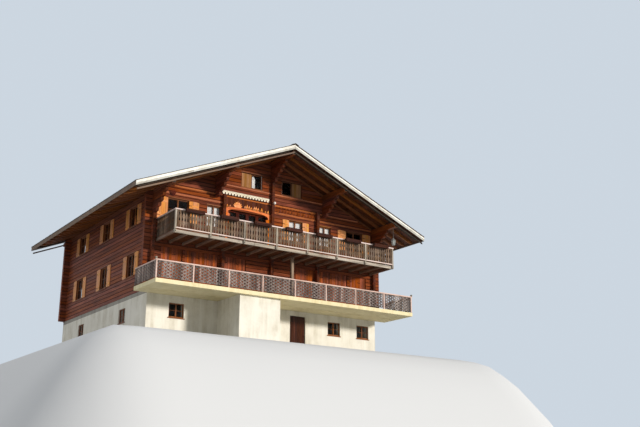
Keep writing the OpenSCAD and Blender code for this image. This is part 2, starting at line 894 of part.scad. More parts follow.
module shutters() {
    color("chocolate") for (r = rows) for (w = r[1])
        on_wall(r[0]) {
            half = w[1] / 2;
            leaf = half - shutter_gap;
            if (w[2] == 1) shutter(w[0] - half - leaf, w[0] - half, r[2], r[2] + r[3]);
            if (w[3] == 1) shutter(w[0] + half, w[0] + half + leaf, r[2], r[2] + r[3]);
        }
}

// Closed leaves of vertical planks on the lower balcony
module plank_doors() {
    color("chocolate") on_wall("front") for (side = [-1, 1]) for (p = plank_openings)
        let (n = p[2], w = (p[1] - p[0] - (n - 1) * leaf_gap) / n)
        for (k = [0 : n - 1])
            let (a = side * (p[0] + k * (w + leaf_gap)), b = a + side * w)
            box([min(a, b), frame_set, slab_top],
                [max(a, b), frame_set + shutter_t, slab_top + plank_door_h]);
}

module curtain(x, w, z_from, z_to) {
    back = frame_set + frame_d + curtain_set;
    box([x - w / 2, back, z_from], [x + w / 2, back + curtain_t, z_to]);
}

// White curtains behind three main front windows and half of the left attic window
module curtains() {
    sill = upper_floor_top + sill_h;
    attic_sill = attic_floor_top + attic_sill_h;
    color("white") on_wall("front") {
        for (w = curtained_windows) curtain(w[0], w[1], sill, sill + window_h);
        curtain(-attic_window_x, attic_window_w / 2, attic_sill, attic_sill + attic_window_h);
    }
}

// Trim on the front

string_d = 40;
bay_inner = column_half;
bay_outer = cross_wall_x - column_half;
string_end_gap = 60;

// Largest distance from the centre at which a moulding of this height clears the rafters
function string_end(z) = min(eave_purlin_x - purlin_w / 2,
    (rafter_under(0) - z - string_h) / roof_rise - string_end_gap);

module string_course(x_from, x_to, z) {
    along_x(x_from, x_to)
        polygon([[0, z], [-string_d, z + string_h / 3], [-string_d, z + string_h], [0, z + string_h]]);
}

module string_courses() {
    color("sienna") on_wall("front") {
        string_course(bay_inner, bay_outer, lower_string_z);
        for (side = [0, 1]) mirror([side, 0, 0]) {
            string_course(bay_inner, mid_purlin_x - column_half, upper_string_z);
            string_course(bay_inner, bay_outer, middle_string_z);
            string_course(cross_wall_x + column_half, mid_purlin_x - column_half, middle_string_z);
            string_course(mid_purlin_x + column_half, string_end(middle_string_z), middle_string_z);
            string_course(cross_wall_x + column_half, string_end(lower_string_z), lower_string_z);
        }
    }
}

arch_post_w = 150;
arch_top_h = 230;
arch_side_gap = 10;
arch_head_rise = 80;
arch_left = -cross_wall_x + column_half + arch_side_gap;
arch_right = -column_half - arch_side_gap;
arch_mid = (arch_left + arch_right) / 2;
arch_half = (arch_right - arch_left) / 2 - arch_post_w;
arch_spring = upper_floor_top + loggia_h + arch_head_rise - arch_rise;
arch_r = (arch_half * arch_half + arch_rise * arch_rise) / (2 * arch_rise);
leaf_count = 9;
leaf_d = 190;

// Board with a segmental arch and a row of carved leaves along its top
module arch_board() {
    top = arch_spring + arch_rise + arch_top_h;
    color("darkorange") on_wall("front") translate([0, -carved_t, 0]) along_y(0, carved_t)
        difference() {
            union() {
                translate([arch_left, upper_floor_top])
                    square([arch_right - arch_left, top - upper_floor_top]);
                for (k = [0 : leaf_count - 1])
                    let (x = arch_mid + (k - (leaf_count - 1) / 2) * leaf_d,
                        rise = 1 - abs(k - (leaf_count - 1) / 2) / leaf_count)
                    translate([x, top]) scale(rise) circle(d = leaf_d, $fn = 30);
            }
            translate([arch_mid, arch_spring + arch_rise - arch_r]) intersection() {
                circle(r = arch_r, $fn = 120);
                translate([-arch_half, arch_r - arch_rise - cut])
                    square([2 * arch_half, arch_rise + 2 * cut]);
            }
            translate([arch_mid - arch_half, upper_floor_top - cut])
                square([2 * arch_half, arch_spring - upper_floor_top + cut]);
        }
}

lambrequin_y = 150;
lambrequin_h = 180;
lambrequin_gap = 10;
lambrequin_z = column_top + lambrequin_gap;
lambrequin_lap = 90;
lambrequin_end_gap = 180;
ledge_t = 20;
scallops = 16;

// Scalloped board over the loggia, hung from a ledge that stands out from the wall
module lambrequin() {
    left = -cross_wall_x - column_half - lambrequin_lap;
    right = -column_half - lambrequin_end_gap;
    w = (right - left) / scallops;
    top = lambrequin_z + lambrequin_h;
    color("cornsilk") on_wall("front") {
        box([left, -lambrequin_y, top], [right, 0, top + ledge_t]);
        translate([0, -lambrequin_y, 0]) along_y(0, carved_t) {
            translate([left, lambrequin_z + w / 2]) square([right - left, lambrequin_h - w / 2]);
            for (k = [0 : scallops - 1])
                translate([left + (k + 0.5) * w, lambrequin_z + w / 2]) circle(d = w, $fn = 24);
        }
    }
}

loggia_left = loggia_x - loggia_w / 2;
leaf_w = (loggia_w + leaf_gap) / loggia_leaves;
loggia_set = log_t - frame_d;
door_bar = 90;
door_panel_h = 700;

// Glazed leaves behind the arch, set back to the wall's inner face
module loggia_doors() {
    color("saddlebrown") on_wall("front") for (k = [0 : loggia_leaves - 1])
        let (left = loggia_left + k * leaf_w, right = left + leaf_w - leaf_gap)
        difference() {
            box([left, loggia_set, upper_floor_top], [right, log_t, upper_floor_top + loggia_h]);
            box([left + door_bar, loggia_set - cut, upper_floor_top + door_panel_h],
                [right - door_bar, log_t + cut, upper_floor_top + loggia_h - door_bar]);
        }
}

hang_y = front_y + log_t / 2 - front_rafters * rafter_step;
rod_d = 16;
lantern_drop = 690;
lantern_d = 280;
lantern_foot_d = 196;
lantern_neck_d = 252;
lantern_h = 400;
hood_h = 120;
hood_top_d = 60;

// Lantern on a rod under the right eave purlin
module hanging_lantern() {
    hood_low = eave_purlin_bottom - lantern_drop;
    color("dimgray") translate([eave_purlin_x, hang_y, hood_low]) {
        cylinder(d = rod_d, h = lantern_drop, $fn = 24);
        cylinder(d1 = lantern_d, d2 = hood_top_d, h = hood_h, $fn = 32);
        translate([0, 0, hood_h - lantern_h])
            cylinder(d1 = lantern_foot_d, d2 = lantern_neck_d, h = lantern_h - hood_h, $fn = 32);
    }
}

basket_d = 360;
basket_foot_d = 216;
basket_h = 200;
basket_wall = 12;
basket_drop = 545;
basket_in = 70;

// Empty hanging basket on a rod under the left eave purlin
module hanging_basket() {
    color("brown") translate([basket_in - eave_purlin_x, hang_y, eave_purlin_bottom - basket_drop]) {
        difference() {
            cylinder(d1 = basket_foot_d, d2 = basket_d, h = basket_h, $fn = 40);
            translate([0, 0, basket_wall])
                cylinder(d1 = basket_foot_d - 2 * basket_wall, d2 = basket_d - 2 * basket_wall,
                    h = basket_h, $fn = 40);
        }
        cylinder(d = rod_d, h = basket_drop, $fn = 24);
    }
}

lamp_d = 150;
lamp_stem_d = 50;
lamp_stem_l = 20;
lamp_sink = 10;
lamp_rise = 535;

// Round lamp on a short stem at the centre column
module wall_lamp() {
    lamp_z = attic_floor_top + lamp_rise;
    color("white") translate([0, front_y - column_reach, lamp_z]) rotate([90, 0, 0]) {
        cylinder(d = lamp_stem_d, h = lamp_stem_l, $fn = 32);
        translate([0, 0, lamp_stem_l + lamp_d / 2 - lamp_sink]) sphere(d = lamp_d, $fn = 40);
    }
}

ground_floor();
ground_front_wall();
ground_back_wall();
ground_left_wall();
ground_right_wall();
porch_walls();
cellar_door();
first_floor();
lower_balcony_slab();
front_lower_wall();
front_upper_wall();
front_gable();
back_lower_wall();
back_upper_wall();
back_gable();
left_lower_wall();
left_upper_wall();
right_lower_wall();
right_upper_wall();
upper_floor();
attic_floor();
log_ends();
purlins();
rafters();
purlin_end_boards();
roof_boarding();
roof_covering();
ridge_cap();
barge_boards();
eave_boards();
balcony_joists();
balcony_floor();
balcony_fascia();
balcony_post();
railing_posts();
railing_rails();
railing_fretwork();
flower_boxes();
lower_railing_posts();
lower_railing_rails();
lower_railing_fretwork();
window_frames();
window_glass();
shutters();
plank_doors();
curtains();
string_courses();
arch_board();
lambrequin();
loggia_doors();
hanging_lantern();
hanging_basket();
wall_lamp();
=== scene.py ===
import functools
import itertools
import math
import random

import bmesh
import bpy
import numpy as np
from bpy.props import FloatProperty, FloatVectorProperty, IntProperty, PointerProperty
from bpy.types import Operator, Panel, PropertyGroup
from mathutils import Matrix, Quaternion, Vector
from mathutils.geometry import tessellate_polygon


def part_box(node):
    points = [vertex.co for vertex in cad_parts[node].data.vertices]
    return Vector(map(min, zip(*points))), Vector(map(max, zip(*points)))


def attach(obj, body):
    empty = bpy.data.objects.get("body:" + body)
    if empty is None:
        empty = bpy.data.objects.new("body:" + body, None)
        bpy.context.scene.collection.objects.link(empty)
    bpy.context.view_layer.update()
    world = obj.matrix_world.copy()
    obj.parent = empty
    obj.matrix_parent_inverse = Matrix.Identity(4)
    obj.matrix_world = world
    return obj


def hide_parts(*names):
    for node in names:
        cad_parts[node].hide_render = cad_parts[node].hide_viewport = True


bl_info = {
    "name": "Alpine chalet finish",
    "version": (1, 0, 0),
    "blender": (4, 5, 0),
    "location": "3D View > Sidebar > Chalet",
    "description": "Builds the logs, boards, carvings, windows and finishes of an alpine chalet",
    "category": "Object",
}

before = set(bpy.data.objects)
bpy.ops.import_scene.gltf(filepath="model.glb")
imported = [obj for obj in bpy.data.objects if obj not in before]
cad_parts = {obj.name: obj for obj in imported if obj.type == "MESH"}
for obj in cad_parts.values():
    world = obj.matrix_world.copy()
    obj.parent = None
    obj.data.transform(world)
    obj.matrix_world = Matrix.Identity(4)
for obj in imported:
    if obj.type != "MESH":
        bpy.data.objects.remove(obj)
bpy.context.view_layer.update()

# Axes of the frame
X, Y, Z = np.eye(3)

# Faces of the log house and its levels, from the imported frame
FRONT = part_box("front_upper_wall")[0].y
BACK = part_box("back_upper_wall")[1].y
HALF_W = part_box("right_lower_wall")[1].x
LOG_T = HALF_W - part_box("right_lower_wall")[0].x
LOG_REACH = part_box("front_lower_wall")[1].x
FLOOR_1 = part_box("front_lower_wall")[0].z
FLOOR_2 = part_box("front_upper_wall")[0].z
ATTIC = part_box("front_gable")[0].z

# Roof lines: the top of the boarding falls evenly from the ridge
COVER_LOW, COVER_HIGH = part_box("roof_covering")
BOARDING_LOW, BOARDING_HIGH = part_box("roof_boarding")
RIDGE_X = min(abs(v.co.x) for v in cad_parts["roof_boarding"].data.vertices)
RISE = (BOARDING_HIGH.z - COVER_LOW.z) / (COVER_HIGH.x - RIDGE_X)
RIDGE = BOARDING_HIGH.z + RISE * RIDGE_X
SLOPE = math.sqrt(1 + RISE * RISE)

# Plumb drops from the roof line to the top and the underside of the rafters
ON_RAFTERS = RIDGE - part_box("rafters")[1].z
UNDER_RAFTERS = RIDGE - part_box("purlins")[1].z

# The four walls: a point of the outer face, the direction along the wall and the outward direction
SIDES = {
    "front": (Y * FRONT, X, -Y),
    "back": (Y * BACK, -X, Y),
    "left": (-X * HALF_W, -Y, -X),
    "right": (X * HALF_W, Y, X),
}


def roof_z(x, drop=0.0):
    """Height of the roof line at x, less a plumb drop."""
    return RIDGE - RISE * abs(x) - drop


def under_rafters_x(z):
    """How far from the centre the underside of the rafters lies above z."""
    return (RIDGE - UNDER_RAFTERS - z) / RISE


def anywhere(z):
    """A wall that no roof cuts."""
    return math.inf


def unit(v):
    v = np.asarray(v, float)
    return v / np.linalg.norm(v)


def whole(node):
    """Box of a CAD node, as (low, high) arrays."""
    return [np.array(v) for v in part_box(node)]


def solids(node):
    """Boxes of the separate solids of a CAD node, as (low, high) arrays."""
    mesh = bmesh.new()
    mesh.from_mesh(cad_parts[node].data)
    bmesh.ops.remove_doubles(mesh, verts=mesh.verts, dist=2e-5)
    left, found = set(mesh.verts), []
    while left:
        group = [left.pop()]
        for v in group:
            near = {e.other_vert(v) for e in v.link_edges} & left
            left -= near
            group += near
        pts = np.array([v.co[:] for v in group])
        found.append((pts.min(0), pts.max(0)))
    mesh.free()
    return sorted(found, key=lambda b: tuple(np.round(b[0], 3)))


def in_walls(node):
    """Each solid of a window or door node: wall, along from and to, low and high z, depth from and to."""
    for low, high in solids(node):
        mid = (low + high) / 2
        side = min(SIDES, key=lambda s: abs((mid - SIDES[s][0]) @ SIDES[s][2]))
        face, run, out = SIDES[side]
        along = sorted(((low - face) @ run, (high - face) @ run))
        deep = sorted(((face - low) @ out, (face - high) @ out))
        yield side, *along, low[2], high[2], *deep


def on_roof_edges(node):
    """Each solid of a roof edge node: its side, its near and far x, its plumb drops and its ends in y."""
    for low, high in solids(node):
        x0, x1 = sorted((abs(low[0]), abs(high[0])))
        drops = RIDGE - RISE * x0 - high[2], RIDGE - RISE * x1 - low[2]
        yield 1 if high[0] > 1 else -1, x0, x1, drops, low[1], high[1]


def parts(start, end, count, gap=0.0):
    """Cuts a length into equal parts, each less a gap at its end."""
    step = (end - start) / max(count, 1)
    return [(start + k * step, start + (k + 1) * step - gap) for k in range(count)]


def joined(start, end, count, gap):
    """Cuts a length into equal parts with a gap at each joint, but none at the end."""
    return parts(start, end, count, gap)[:-1] + [(parts(start, end, count)[-1][0], end)]


# Template of a box with chamfered edges: corner signs, and the axis along which each point stays out
CORNERS = list(itertools.product((-1, 1), repeat=3))
BOX_SIGN = np.repeat(np.array(CORNERS, float), 3, axis=0)
BOX_OUT = np.tile(np.eye(3), (8, 1))


def chamfered_faces():
    """Faces of the chamfered box, wound outwards."""
    def at(owner, *signs):
        corner = dict(signs)
        return 3 * CORNERS.index(tuple(corner[a] for a in range(3))) + owner

    faces = []
    for i, s in itertools.product(range(3), (-1, 1)):
        j, k = [a for a in range(3) if a != i]
        ring = ((-1, -1), (1, -1), (1, 1), (-1, 1))
        faces.append([at(i, (i, s), (j, p), (k, q)) for p, q in ring])
        for t, (m, o) in itertools.product((-1, 1), ((j, k), (k, j))):
            if i < m:
                faces.append([at(owner, (i, s), (m, t), (o, e))
                              for owner, e in ((i, -1), (i, 1), (m, 1), (m, -1))])
    faces += [[3 * k, 3 * k + 1, 3 * k + 2] for k in range(len(CORNERS))]
    pts = BOX_SIGN * (1 - 0.2 * (1 - BOX_OUT))
    outward = [np.cross(pts[f[1]] - pts[f[0]], pts[f[2]] - pts[f[0]]) @ pts[f].mean(0) > 0 for f in faces]
    return [f if out else f[::-1] for f, out in zip(faces, outward)]


BOX_FACES = chamfered_faces()


class Stock:
    """Boards and carved shapes gathered into one mesh, with the run of the grain kept at each point."""

    def __init__(self, seed):
        self.points, self.grain, self.faces, self.finish, self.smooth = [], [], [], [], []
        self.count = 0
        self.chance = random.Random(seed)

    def add(self, points, faces, along=X, finish=0, smooth=False):
        """Adds one piece. along is the direction of its grain."""
        points = np.asarray(points, float)
        a = unit(along)
        b = unit(np.cross(a, Z if abs(a[2]) < 0.9 else X))
        start = [self.chance.uniform(0, 50) for _ in range(3)]
        self.grain.append(points @ np.array([a, b, np.cross(a, b)]).T + start)
        self.points.append(points)
        self.last = len(self.faces)
        self.faces += [[i + self.count for i in f] for f in faces]
        self.finish += finish if isinstance(finish, list) else [finish] * len(faces)
        self.smooth += [smooth] * len(faces)
        self.count += len(points)

    def board(self, low, high, edge=0.004, axes=None, origin=0.0, along=None, finish=0):
        """A box with chamfered edges, in the given axes, with its grain along its longest side."""
        low, high = np.minimum(low, high), np.maximum(low, high)
        axes = np.eye(3) if axes is None else np.array(axes, float)
        half = (high - low) / 2
        pull = min(edge, 0.4 * half.min())
        local = (low + high) / 2 + BOX_SIGN * (half - pull * (1 - BOX_OUT))
        faces = BOX_FACES if np.linalg.det(axes) > 0 else [f[::-1] for f in BOX_FACES]
        along = axes[int(np.argmax(half))] if along is None else along
        self.add(local @ axes + origin, faces, along, finish)

    def on_wall(self, side, a0, a1, z0, z1, d0, d1, edge=0.004, along=None, finish=0):
        """A board in wall coordinates."""
        face, run, out = SIDES[side]
        self.board([a0, z0, d0], [a1, z1, d1], edge, [run, Z, -out], face, along, finish)

    def on_slope(self, side, x0, x1, drop0, drop1, y0, y1, edge=0.004, finish=0, tail=None):
        """A board or beam that follows one side of the roof, between two plumb drops."""
        corners = (x0, drop1), (x1, drop1), (x1, drop0), (x0, drop0)
        ring = [(x, roof_z(x, drop)) for x, drop in corners]
        if tail:
            ring[1:2] = tail
        self.through([[(side * x, z) for x, z in ring]], y0, y1, unit([side, 0, -RISE]), edge, finish)

    def faced(self, out, finish):
        """Gives another finish to the faces of the last piece that look outwards."""
        first = self.count - len(self.points[-1])
        for k in range(self.last, len(self.faces)):
            p, q, r = (self.points[-1][i - first] for i in self.faces[k][:3])
            normal = np.cross(q - p, r - p)
            if normal @ out > 0.75 * np.linalg.norm(normal):
                self.finish[k] = finish

    def prism(self, loops, origin, u, v, depth, along=None, edge=0.0, finish=0):
        """A flat shape with holes, cut from a board: loops in the (u, v) plane, depth a vector."""
        ready = []
        for k, loop in enumerate(np.asarray(loop, float) for loop in loops):
            area = np.cross(loop, np.roll(loop, -1, 0)).sum()
            ready.append(loop if (area > 0) == (k == 0) else loop[::-1])
        steps, inner = [(ready, 0.0), (ready, 1.0)], ready
        if edge:
            inner = [pulled_in(loop, edge) for loop in ready]
            bevel = edge / np.linalg.norm(depth)
            steps = [(inner, 0.0), (ready, bevel), (ready, 1 - bevel), (inner, 1.0)]
        rings = [origin + np.vstack(shape) @ [u, v] + t * depth for shape, t in steps]
        n = len(rings[0])
        flat, faces = np.vstack(inner), []
        for tri in tessellate_polygon([[Vector((*p, 0)) for p in loop] for loop in inner]):
            p, q, r = flat[list(tri)]
            low = list(tri)[::-1] if np.cross(q - p, r - p) > 0 else list(tri)
            faces += [low, [i + n * (len(rings) - 1) for i in low[::-1]]]
        at = 0
        for loop in ready:
            for ring, i in itertools.product(range(len(rings) - 1), range(len(loop))):
                a, b = at + ring * n + i, at + ring * n + (i + 1) % len(loop)
                faces.append([a, b, b + n, a + n])
            at += len(loop)
        if np.cross(u, v) @ depth < 0:
            faces = [f[::-1] for f in faces]
        if along is None:
            wide, tall = np.ptp(ready[0], axis=0)
            along = u if wide > tall else v
        self.add(np.vstack(rings), faces, along, finish)

    def through(self, loops, y0, y1, along=None, edge=0.0, finish=0):
        """A shape drawn as seen from the front, cut through from y0 to y1."""
        self.prism(loops, Y * y0, X, Z, Y * (y1 - y0), along, edge, finish)

    def turned(self, profile, foot, sides=24, axis=Z, finish=0, smooth=True):
        """A turned piece: profile of (radius, height) from the foot up."""
        axis = unit(axis)
        b = unit(np.cross(axis, X if abs(axis[0]) < 0.9 else Y))
        rays = spokes(sides, b, np.cross(axis, b))
        points = [foot + axis * h + r * ray for r, h in profile for ray in rays]
        end = sides * (len(profile) - 1)
        faces = [[i + k, i + (k + 1) % sides, i + sides + (k + 1) % sides, i + sides + k]
                 for i in range(0, end, sides) for k in range(sides)]
        faces += [list(range(sides))[::-1], list(range(end, end + sides))]
        self.add(points, faces, axis, finish, smooth)

    def rod(self, start, end, radius, sides=8, finish=0):
        """A round bar between two points."""
        self.turned([(radius, 0), (radius, np.linalg.norm(end - start))], start, sides, end - start, finish)

    def hoop(self, ring, radius, sides=5):
        """Rods round a ring of points."""
        for p, q in zip(ring, ring[1:] + ring[:1]):
            self.rod(p, q, radius, sides)

    def make(self, name, slot, finishes, node):
        """Turns the gathered pieces into one object that rides on the house in place of a CAD node."""
        mesh = bpy.data.meshes.new(name)
        mesh.from_pydata(np.vstack(self.points).tolist(), [], self.faces)
        for key in finishes.split():
            mesh.materials.append(finish(key))
        mesh.polygons.foreach_set("material_index", self.finish)
        mesh.polygons.foreach_set("use_smooth", self.smooth)
        grain = mesh.attributes.new("grain", "FLOAT_VECTOR", "POINT")
        grain.data.foreach_set("vector", np.vstack(self.grain).ravel())
        mesh.update()
        piece = bpy.data.objects.new(name, mesh)
        bpy.context.scene.collection.objects.link(piece)
        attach(piece, "root")
        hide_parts(node)
        return piece


def pulled_in(loop, edge):
    """A loop moved towards its inside by edge, corner by corner."""
    before, after = loop - np.roll(loop, 1, 0), np.roll(loop, -1, 0) - loop
    before /= np.linalg.norm(before, axis=1)[:, None]
    after /= np.linalg.norm(after, axis=1)[:, None]
    normal = np.stack([-(before + after)[:, 1], (before + after)[:, 0]], 1)
    size = np.linalg.norm(normal, axis=1)[:, None]
    normal /= np.maximum(size, 1e-6)
    cosine = np.maximum(size / 2, 0.5)
    return loop + normal * edge / cosine


def arc(mid, radius, start, end, steps):
    """Points of an arc, angles in degrees."""
    turn = np.radians(np.linspace(start, end, steps + 1))
    return [(mid[0] + radius * math.cos(t), mid[1] + radius * math.sin(t)) for t in turn]


def sized(radius, profile, lift=0.0):
    """A turned profile from shares of its radius."""
    return [(radius * r, lift + h) for r, h in profile]


def spokes(count, a=X, b=Y, turn=0.0):
    """Directions spread evenly round a full turn in the plane of a and b."""
    turns = (2 * math.pi * k / count + turn for k in range(count))
    return [math.cos(t) * a + math.sin(t) * b for t in turns]


# Finishes


def linear(colour):
    """A screen colour in the linear values that shaders take."""
    return tuple((c / 12.92 if c <= 0.04045 else ((c + 0.055) / 1.055) ** 2.4) for c in colour[:3]) + (1.0,)


def scaled(colour, factor):
    return [min(1.0, c * factor) for c in colour]


def tones(colour, *factors):
    """Darker and lighter tones of one colour."""
    return [scaled(colour, factor) for factor in factors]


class Nodes:
    """Short forms for laying out a material or the world."""

    def __init__(self, owner):
        self.owner = bpy.data.materials.new(owner) if isinstance(owner, str) else owner
        self.owner.use_nodes = True
        self.tree = self.owner.node_tree
        self.shader = self.tree.nodes.get("Principled BSDF")

    def feed(self, node, values):
        """Links sockets and sets plain values."""
        for key, value in values.items():
            if isinstance(value, bpy.types.NodeSocket):
                self.tree.links.new(value, node.inputs[key])
            else:
                node.inputs[key].default_value = value

    def new(self, kind, values=None, **settings):
        node = self.tree.nodes.new(kind)
        for key, value in settings.items():
            setattr(node, key, value)
        self.feed(node, values or {})
        return node

    @functools.cached_property
    def grain(self):
        return self.new("ShaderNodeAttribute", attribute_name="grain").outputs["Vector"]

    @functools.cached_property
    def place(self):
        return self.new("ShaderNodeTexCoord").outputs["Object"]

    def stretched(self, vector, scale):
        return self.new("ShaderNodeMapping", {"Vector": vector, "Scale": scale}).outputs[0]

    def noise(self, vector, scale, detail, roughness, distortion=0.0):
        return self.new("ShaderNodeTexNoise", {
            "Vector": vector, "Scale": scale, "Detail": detail, "Roughness": roughness,
            "Distortion": distortion}).outputs[0]

    def streaks(self, along, across, detail, roughness, distortion=0.0):
        """Noise drawn out along the grain."""
        drawn = self.stretched(self.grain, (along, across, across))
        return self.noise(drawn, 1.0, detail, roughness, distortion)

    def weave(self, direction):
        return self.new("ShaderNodeTexWave", {
            "Vector": self.place, "Scale": 180.0, "Distortion": 2.0, "Detail": 1.0},
            bands_direction=direction).outputs["Fac"]

    def ramp(self, value, *stops):
        node = self.new("ShaderNodeValToRGB", {"Fac": value})
        bar = node.color_ramp.elements
        bar.new(0.5)
        for element, (at, colour) in zip(bar, stops):
            element.position = at
            element.color = linear(colour)
        return node.outputs[0]

    def span(self, value, low, high, to_low=0.0, to_high=1.0):
        return self.new("ShaderNodeMapRange", {
            "Value": value, "From Min": low, "From Max": high,
            "To Min": to_low, "To Max": to_high}).outputs[0]

    def math(self, kind, a, b):
        return self.new("ShaderNodeMath", {0: a, 1: b}, operation=kind).outputs[0]

    def mix(self, amount, a, b, kind="MIX"):
        values = {0: amount, 6: a, 7: b}
        return self.new("ShaderNodeMix", values, data_type="RGBA", blend_type=kind).outputs[2]

    def toned(self, colour, spread, hue):
        """Each board gets its own lightness and a slightly different hue."""
        own = self.new("ShaderNodeNewGeometry").outputs["Random Per Island"]
        second = self.math("FRACT", self.math("MULTIPLY", own, 7.31), 0.0)
        return self.new("ShaderNodeHueSaturation", {
            "Hue": self.span(second, 0, 1, 0.5 - hue, 0.5 + hue),
            "Saturation": self.span(second, 0, 1, 0.92, 1.08),
            "Value": self.span(own, 0, 1, 1 - spread, 1 + spread), "Color": colour}).outputs[0]

    def seen(self):
        """1 where a ray looks straight, in a mirror or through glass, for the pale background."""
        path = self.new("ShaderNodeLightPath").outputs
        plain = self.math("MAXIMUM", path["Is Camera Ray"], path["Is Glossy Ray"])
        return self.math("MAXIMUM", plain, path["Is Transmission Ray"])

    def done(self, colour, rough, height=None, shine=0.4, relief=0.0, strength=0.5):
        """Feeds the shader, with a bump of the given height map, and returns the material."""
        values = {"Base Color": colour, "Roughness": rough, "Specular IOR Level": shine}
        if height is not None:
            values["Normal"] = self.new("ShaderNodeBump", {
                "Height": height, "Distance": relief, "Strength": strength}).outputs[0]
        self.feed(self.shader, values)
        return self.owner


def timber(name, colours, spread=0.22, rough=0.62, weather=None, share=0.4, bands=9.0, shine=0.35):
    """Sawn timber: growth bands and fibres along the grain, knots, checks and grey weathering."""
    n = Nodes(name)
    dark, mid, light = colours
    band = n.streaks(0.55, bands, 5.0, 0.62, 0.9)
    fibre = n.streaks(3.0, 120.0, 3.0, 0.6)
    colour = n.ramp(band, (0.28, dark), (0.5, mid), (0.74, light))
    deep = n.mix(1.0, colour, linear(dark), "MULTIPLY")
    colour = n.mix(n.span(fibre, 0.35, 0.7, 0.0, 0.45), colour, deep)
    knots = n.new("ShaderNodeTexVoronoi", {
        "Vector": n.stretched(n.grain, (1.1, 5.2, 5.2)), "Scale": 1.0, "Randomness": 1.0})
    knot = n.span(knots.outputs["Distance"], 0.05, 0.13, 1.0, 0.0)
    colour = n.mix(n.math("MULTIPLY", knot, 0.7), colour, linear(scaled(dark, 0.55)))
    if weather is not None:
        cover = n.span(n.noise(n.place, 1.3, 5.0, 0.65), 0.35, 0.65)
        amount = n.math("MULTIPLY", cover, n.span(n.streaks(1.2, 30.0, 4.0, 0.6), 0.3, 0.7, 0.2, 1.0))
        colour = n.mix(n.math("MULTIPLY", amount, share * 2), colour, linear(weather))
    colour = n.toned(colour, spread, 0.004)
    checks = n.span(n.streaks(0.9, 42.0, 2.0, 0.5), 0.30, 0.36, 0.0, 1.0)
    height = n.math("ADD", n.math("MULTIPLY", fibre, 0.5), n.math("ADD", band, checks))
    return n.done(colour, n.span(fibre, 0.2, 0.8, rough - 0.12, rough + 0.14), height, shine, 0.004, 0.55)


def painted(name, paint, under, dirt, wear=0.35):
    """Paint on boards: brush marks and grain showing through, dirt in streaks, worn patches."""
    n = Nodes(name)
    fibre = n.streaks(2.0, 60.0, 4.0, 0.6)
    patch = n.streaks(1.5, 6.0, 6.0, 0.7, 0.4)
    bare = n.math("ADD", patch, n.math("MULTIPLY", fibre, 0.35))
    worn = n.span(bare, 0.92 - wear * 0.5, 1.02 - wear * 0.4)
    grime = n.span(n.noise(n.place, 2.2, 5.0, 0.6), 0.42, 0.72, 0.0, 0.5)
    colour = n.toned(n.mix(grime, linear(paint), linear(dirt)), 0.05, 0.003)
    colour = n.mix(worn, colour, linear(under))
    height = n.math("SUBTRACT", n.math("MULTIPLY", fibre, 0.4), n.math("MULTIPLY", worn, 0.4))
    return n.done(colour, n.span(worn, 0, 1, 0.5, 0.85), height, 0.4, 0.002)


def plaster(name, colour, stain, relief=0.004, share=0.45):
    """Rendered masonry: float marks, faint stains and damp streaks."""
    n = Nodes(name)
    cloud = n.noise(n.place, 0.9, 6.0, 0.65)
    streak = n.noise(n.stretched(n.place, (3.2, 3.2, 0.35)), 1.0, 5.0, 0.6)
    fine = n.noise(n.place, 55.0, 4.0, 0.7)
    marks = n.noise(n.place, 9.0, 4.0, 0.6, 0.8)
    amount = n.math("MULTIPLY", n.span(cloud, 0.35, 0.7), n.span(streak, 0.35, 0.7))
    tone = n.mix(n.math("MULTIPLY", amount, share * 2), linear(colour), linear(stain))
    tone = n.mix(n.span(marks, 0.3, 0.7, 0.0, 0.10), tone, linear(scaled(colour, 0.8)))
    height = n.math("ADD", marks, n.math("MULTIPLY", fine, 0.35))
    return n.done(tone, n.span(fine, 0.3, 0.7, 0.8, 0.95), height, 0.25, relief, 0.6)


def iron(name, colour, rust, rough=0.5):
    """Forged iron with a dull skin and a little rust."""
    n = Nodes(name)
    spots = n.noise(n.place, 45.0, 5.0, 0.7)
    colour = n.mix(n.span(spots, 0.52, 0.68, 0.0, 0.7), linear(colour), linear(rust))
    n.feed(n.shader, {"Metallic": 0.55})
    return n.done(colour, n.span(spots, 0.3, 0.7, rough - 0.1, rough + 0.25), spots, 0.5, 0.001, 0.4)


def glazing(name, colour, clear):
    """Old window glass: a tint, which in the windows is dark as painted shade of the rooms behind, faintly
    uneven, with a film of dust.
    """
    n = Nodes(name)
    wave = n.noise(n.place, 3.0, 2.0, 0.4)
    dust = n.noise(n.place, 14.0, 4.0, 0.6)
    tone = n.mix(n.span(dust, 0.4, 0.8, 0.0, 0.25), linear(colour), linear((0.55, 0.56, 0.55)))
    n.feed(n.shader, {"Alpha": 1 - clear})
    return n.done(tone, n.span(dust, 0.3, 0.8, 0.05, 0.22), wave, 0.6, 0.004, 0.25)


def woven(name, colour, shade):
    """Thin curtain cloth with a fine weave."""
    n = Nodes(name)
    soft = n.noise(n.place, 4.0, 3.0, 0.5)
    tone = n.mix(n.span(soft, 0.35, 0.7, 0.0, 0.5), linear(colour), linear(shade))
    n.feed(n.shader, {"Sheen Weight": 0.2})
    return n.done(tone, 0.9, n.math("ADD", n.weave("Z"), n.weave("X")), 0.2, 0.0006)


def cladding(name, colours, moss):
    """Weathered wooden shingles, each of its own grey, with a little moss."""
    n = Nodes(name)
    fibre = n.streaks(4.0, 70.0, 4.0, 0.65)
    cloud = n.noise(n.place, 0.55, 5.0, 0.6)
    tone = n.toned(n.ramp(fibre, *zip((0.3, 0.55, 0.8), colours)), 0.34, 0.015)
    green = n.span(n.noise(n.place, 2.6, 6.0, 0.7), 0.58, 0.72, 0.0, 0.5)
    tone = n.mix(n.math("MULTIPLY", green, n.span(cloud, 0.4, 0.65)), tone, linear(moss))
    return n.done(tone, n.span(fibre, 0.2, 0.8, 0.72, 0.95), fibre, 0.25, 0.003, 0.6)


# Sizes and colours that a user would change


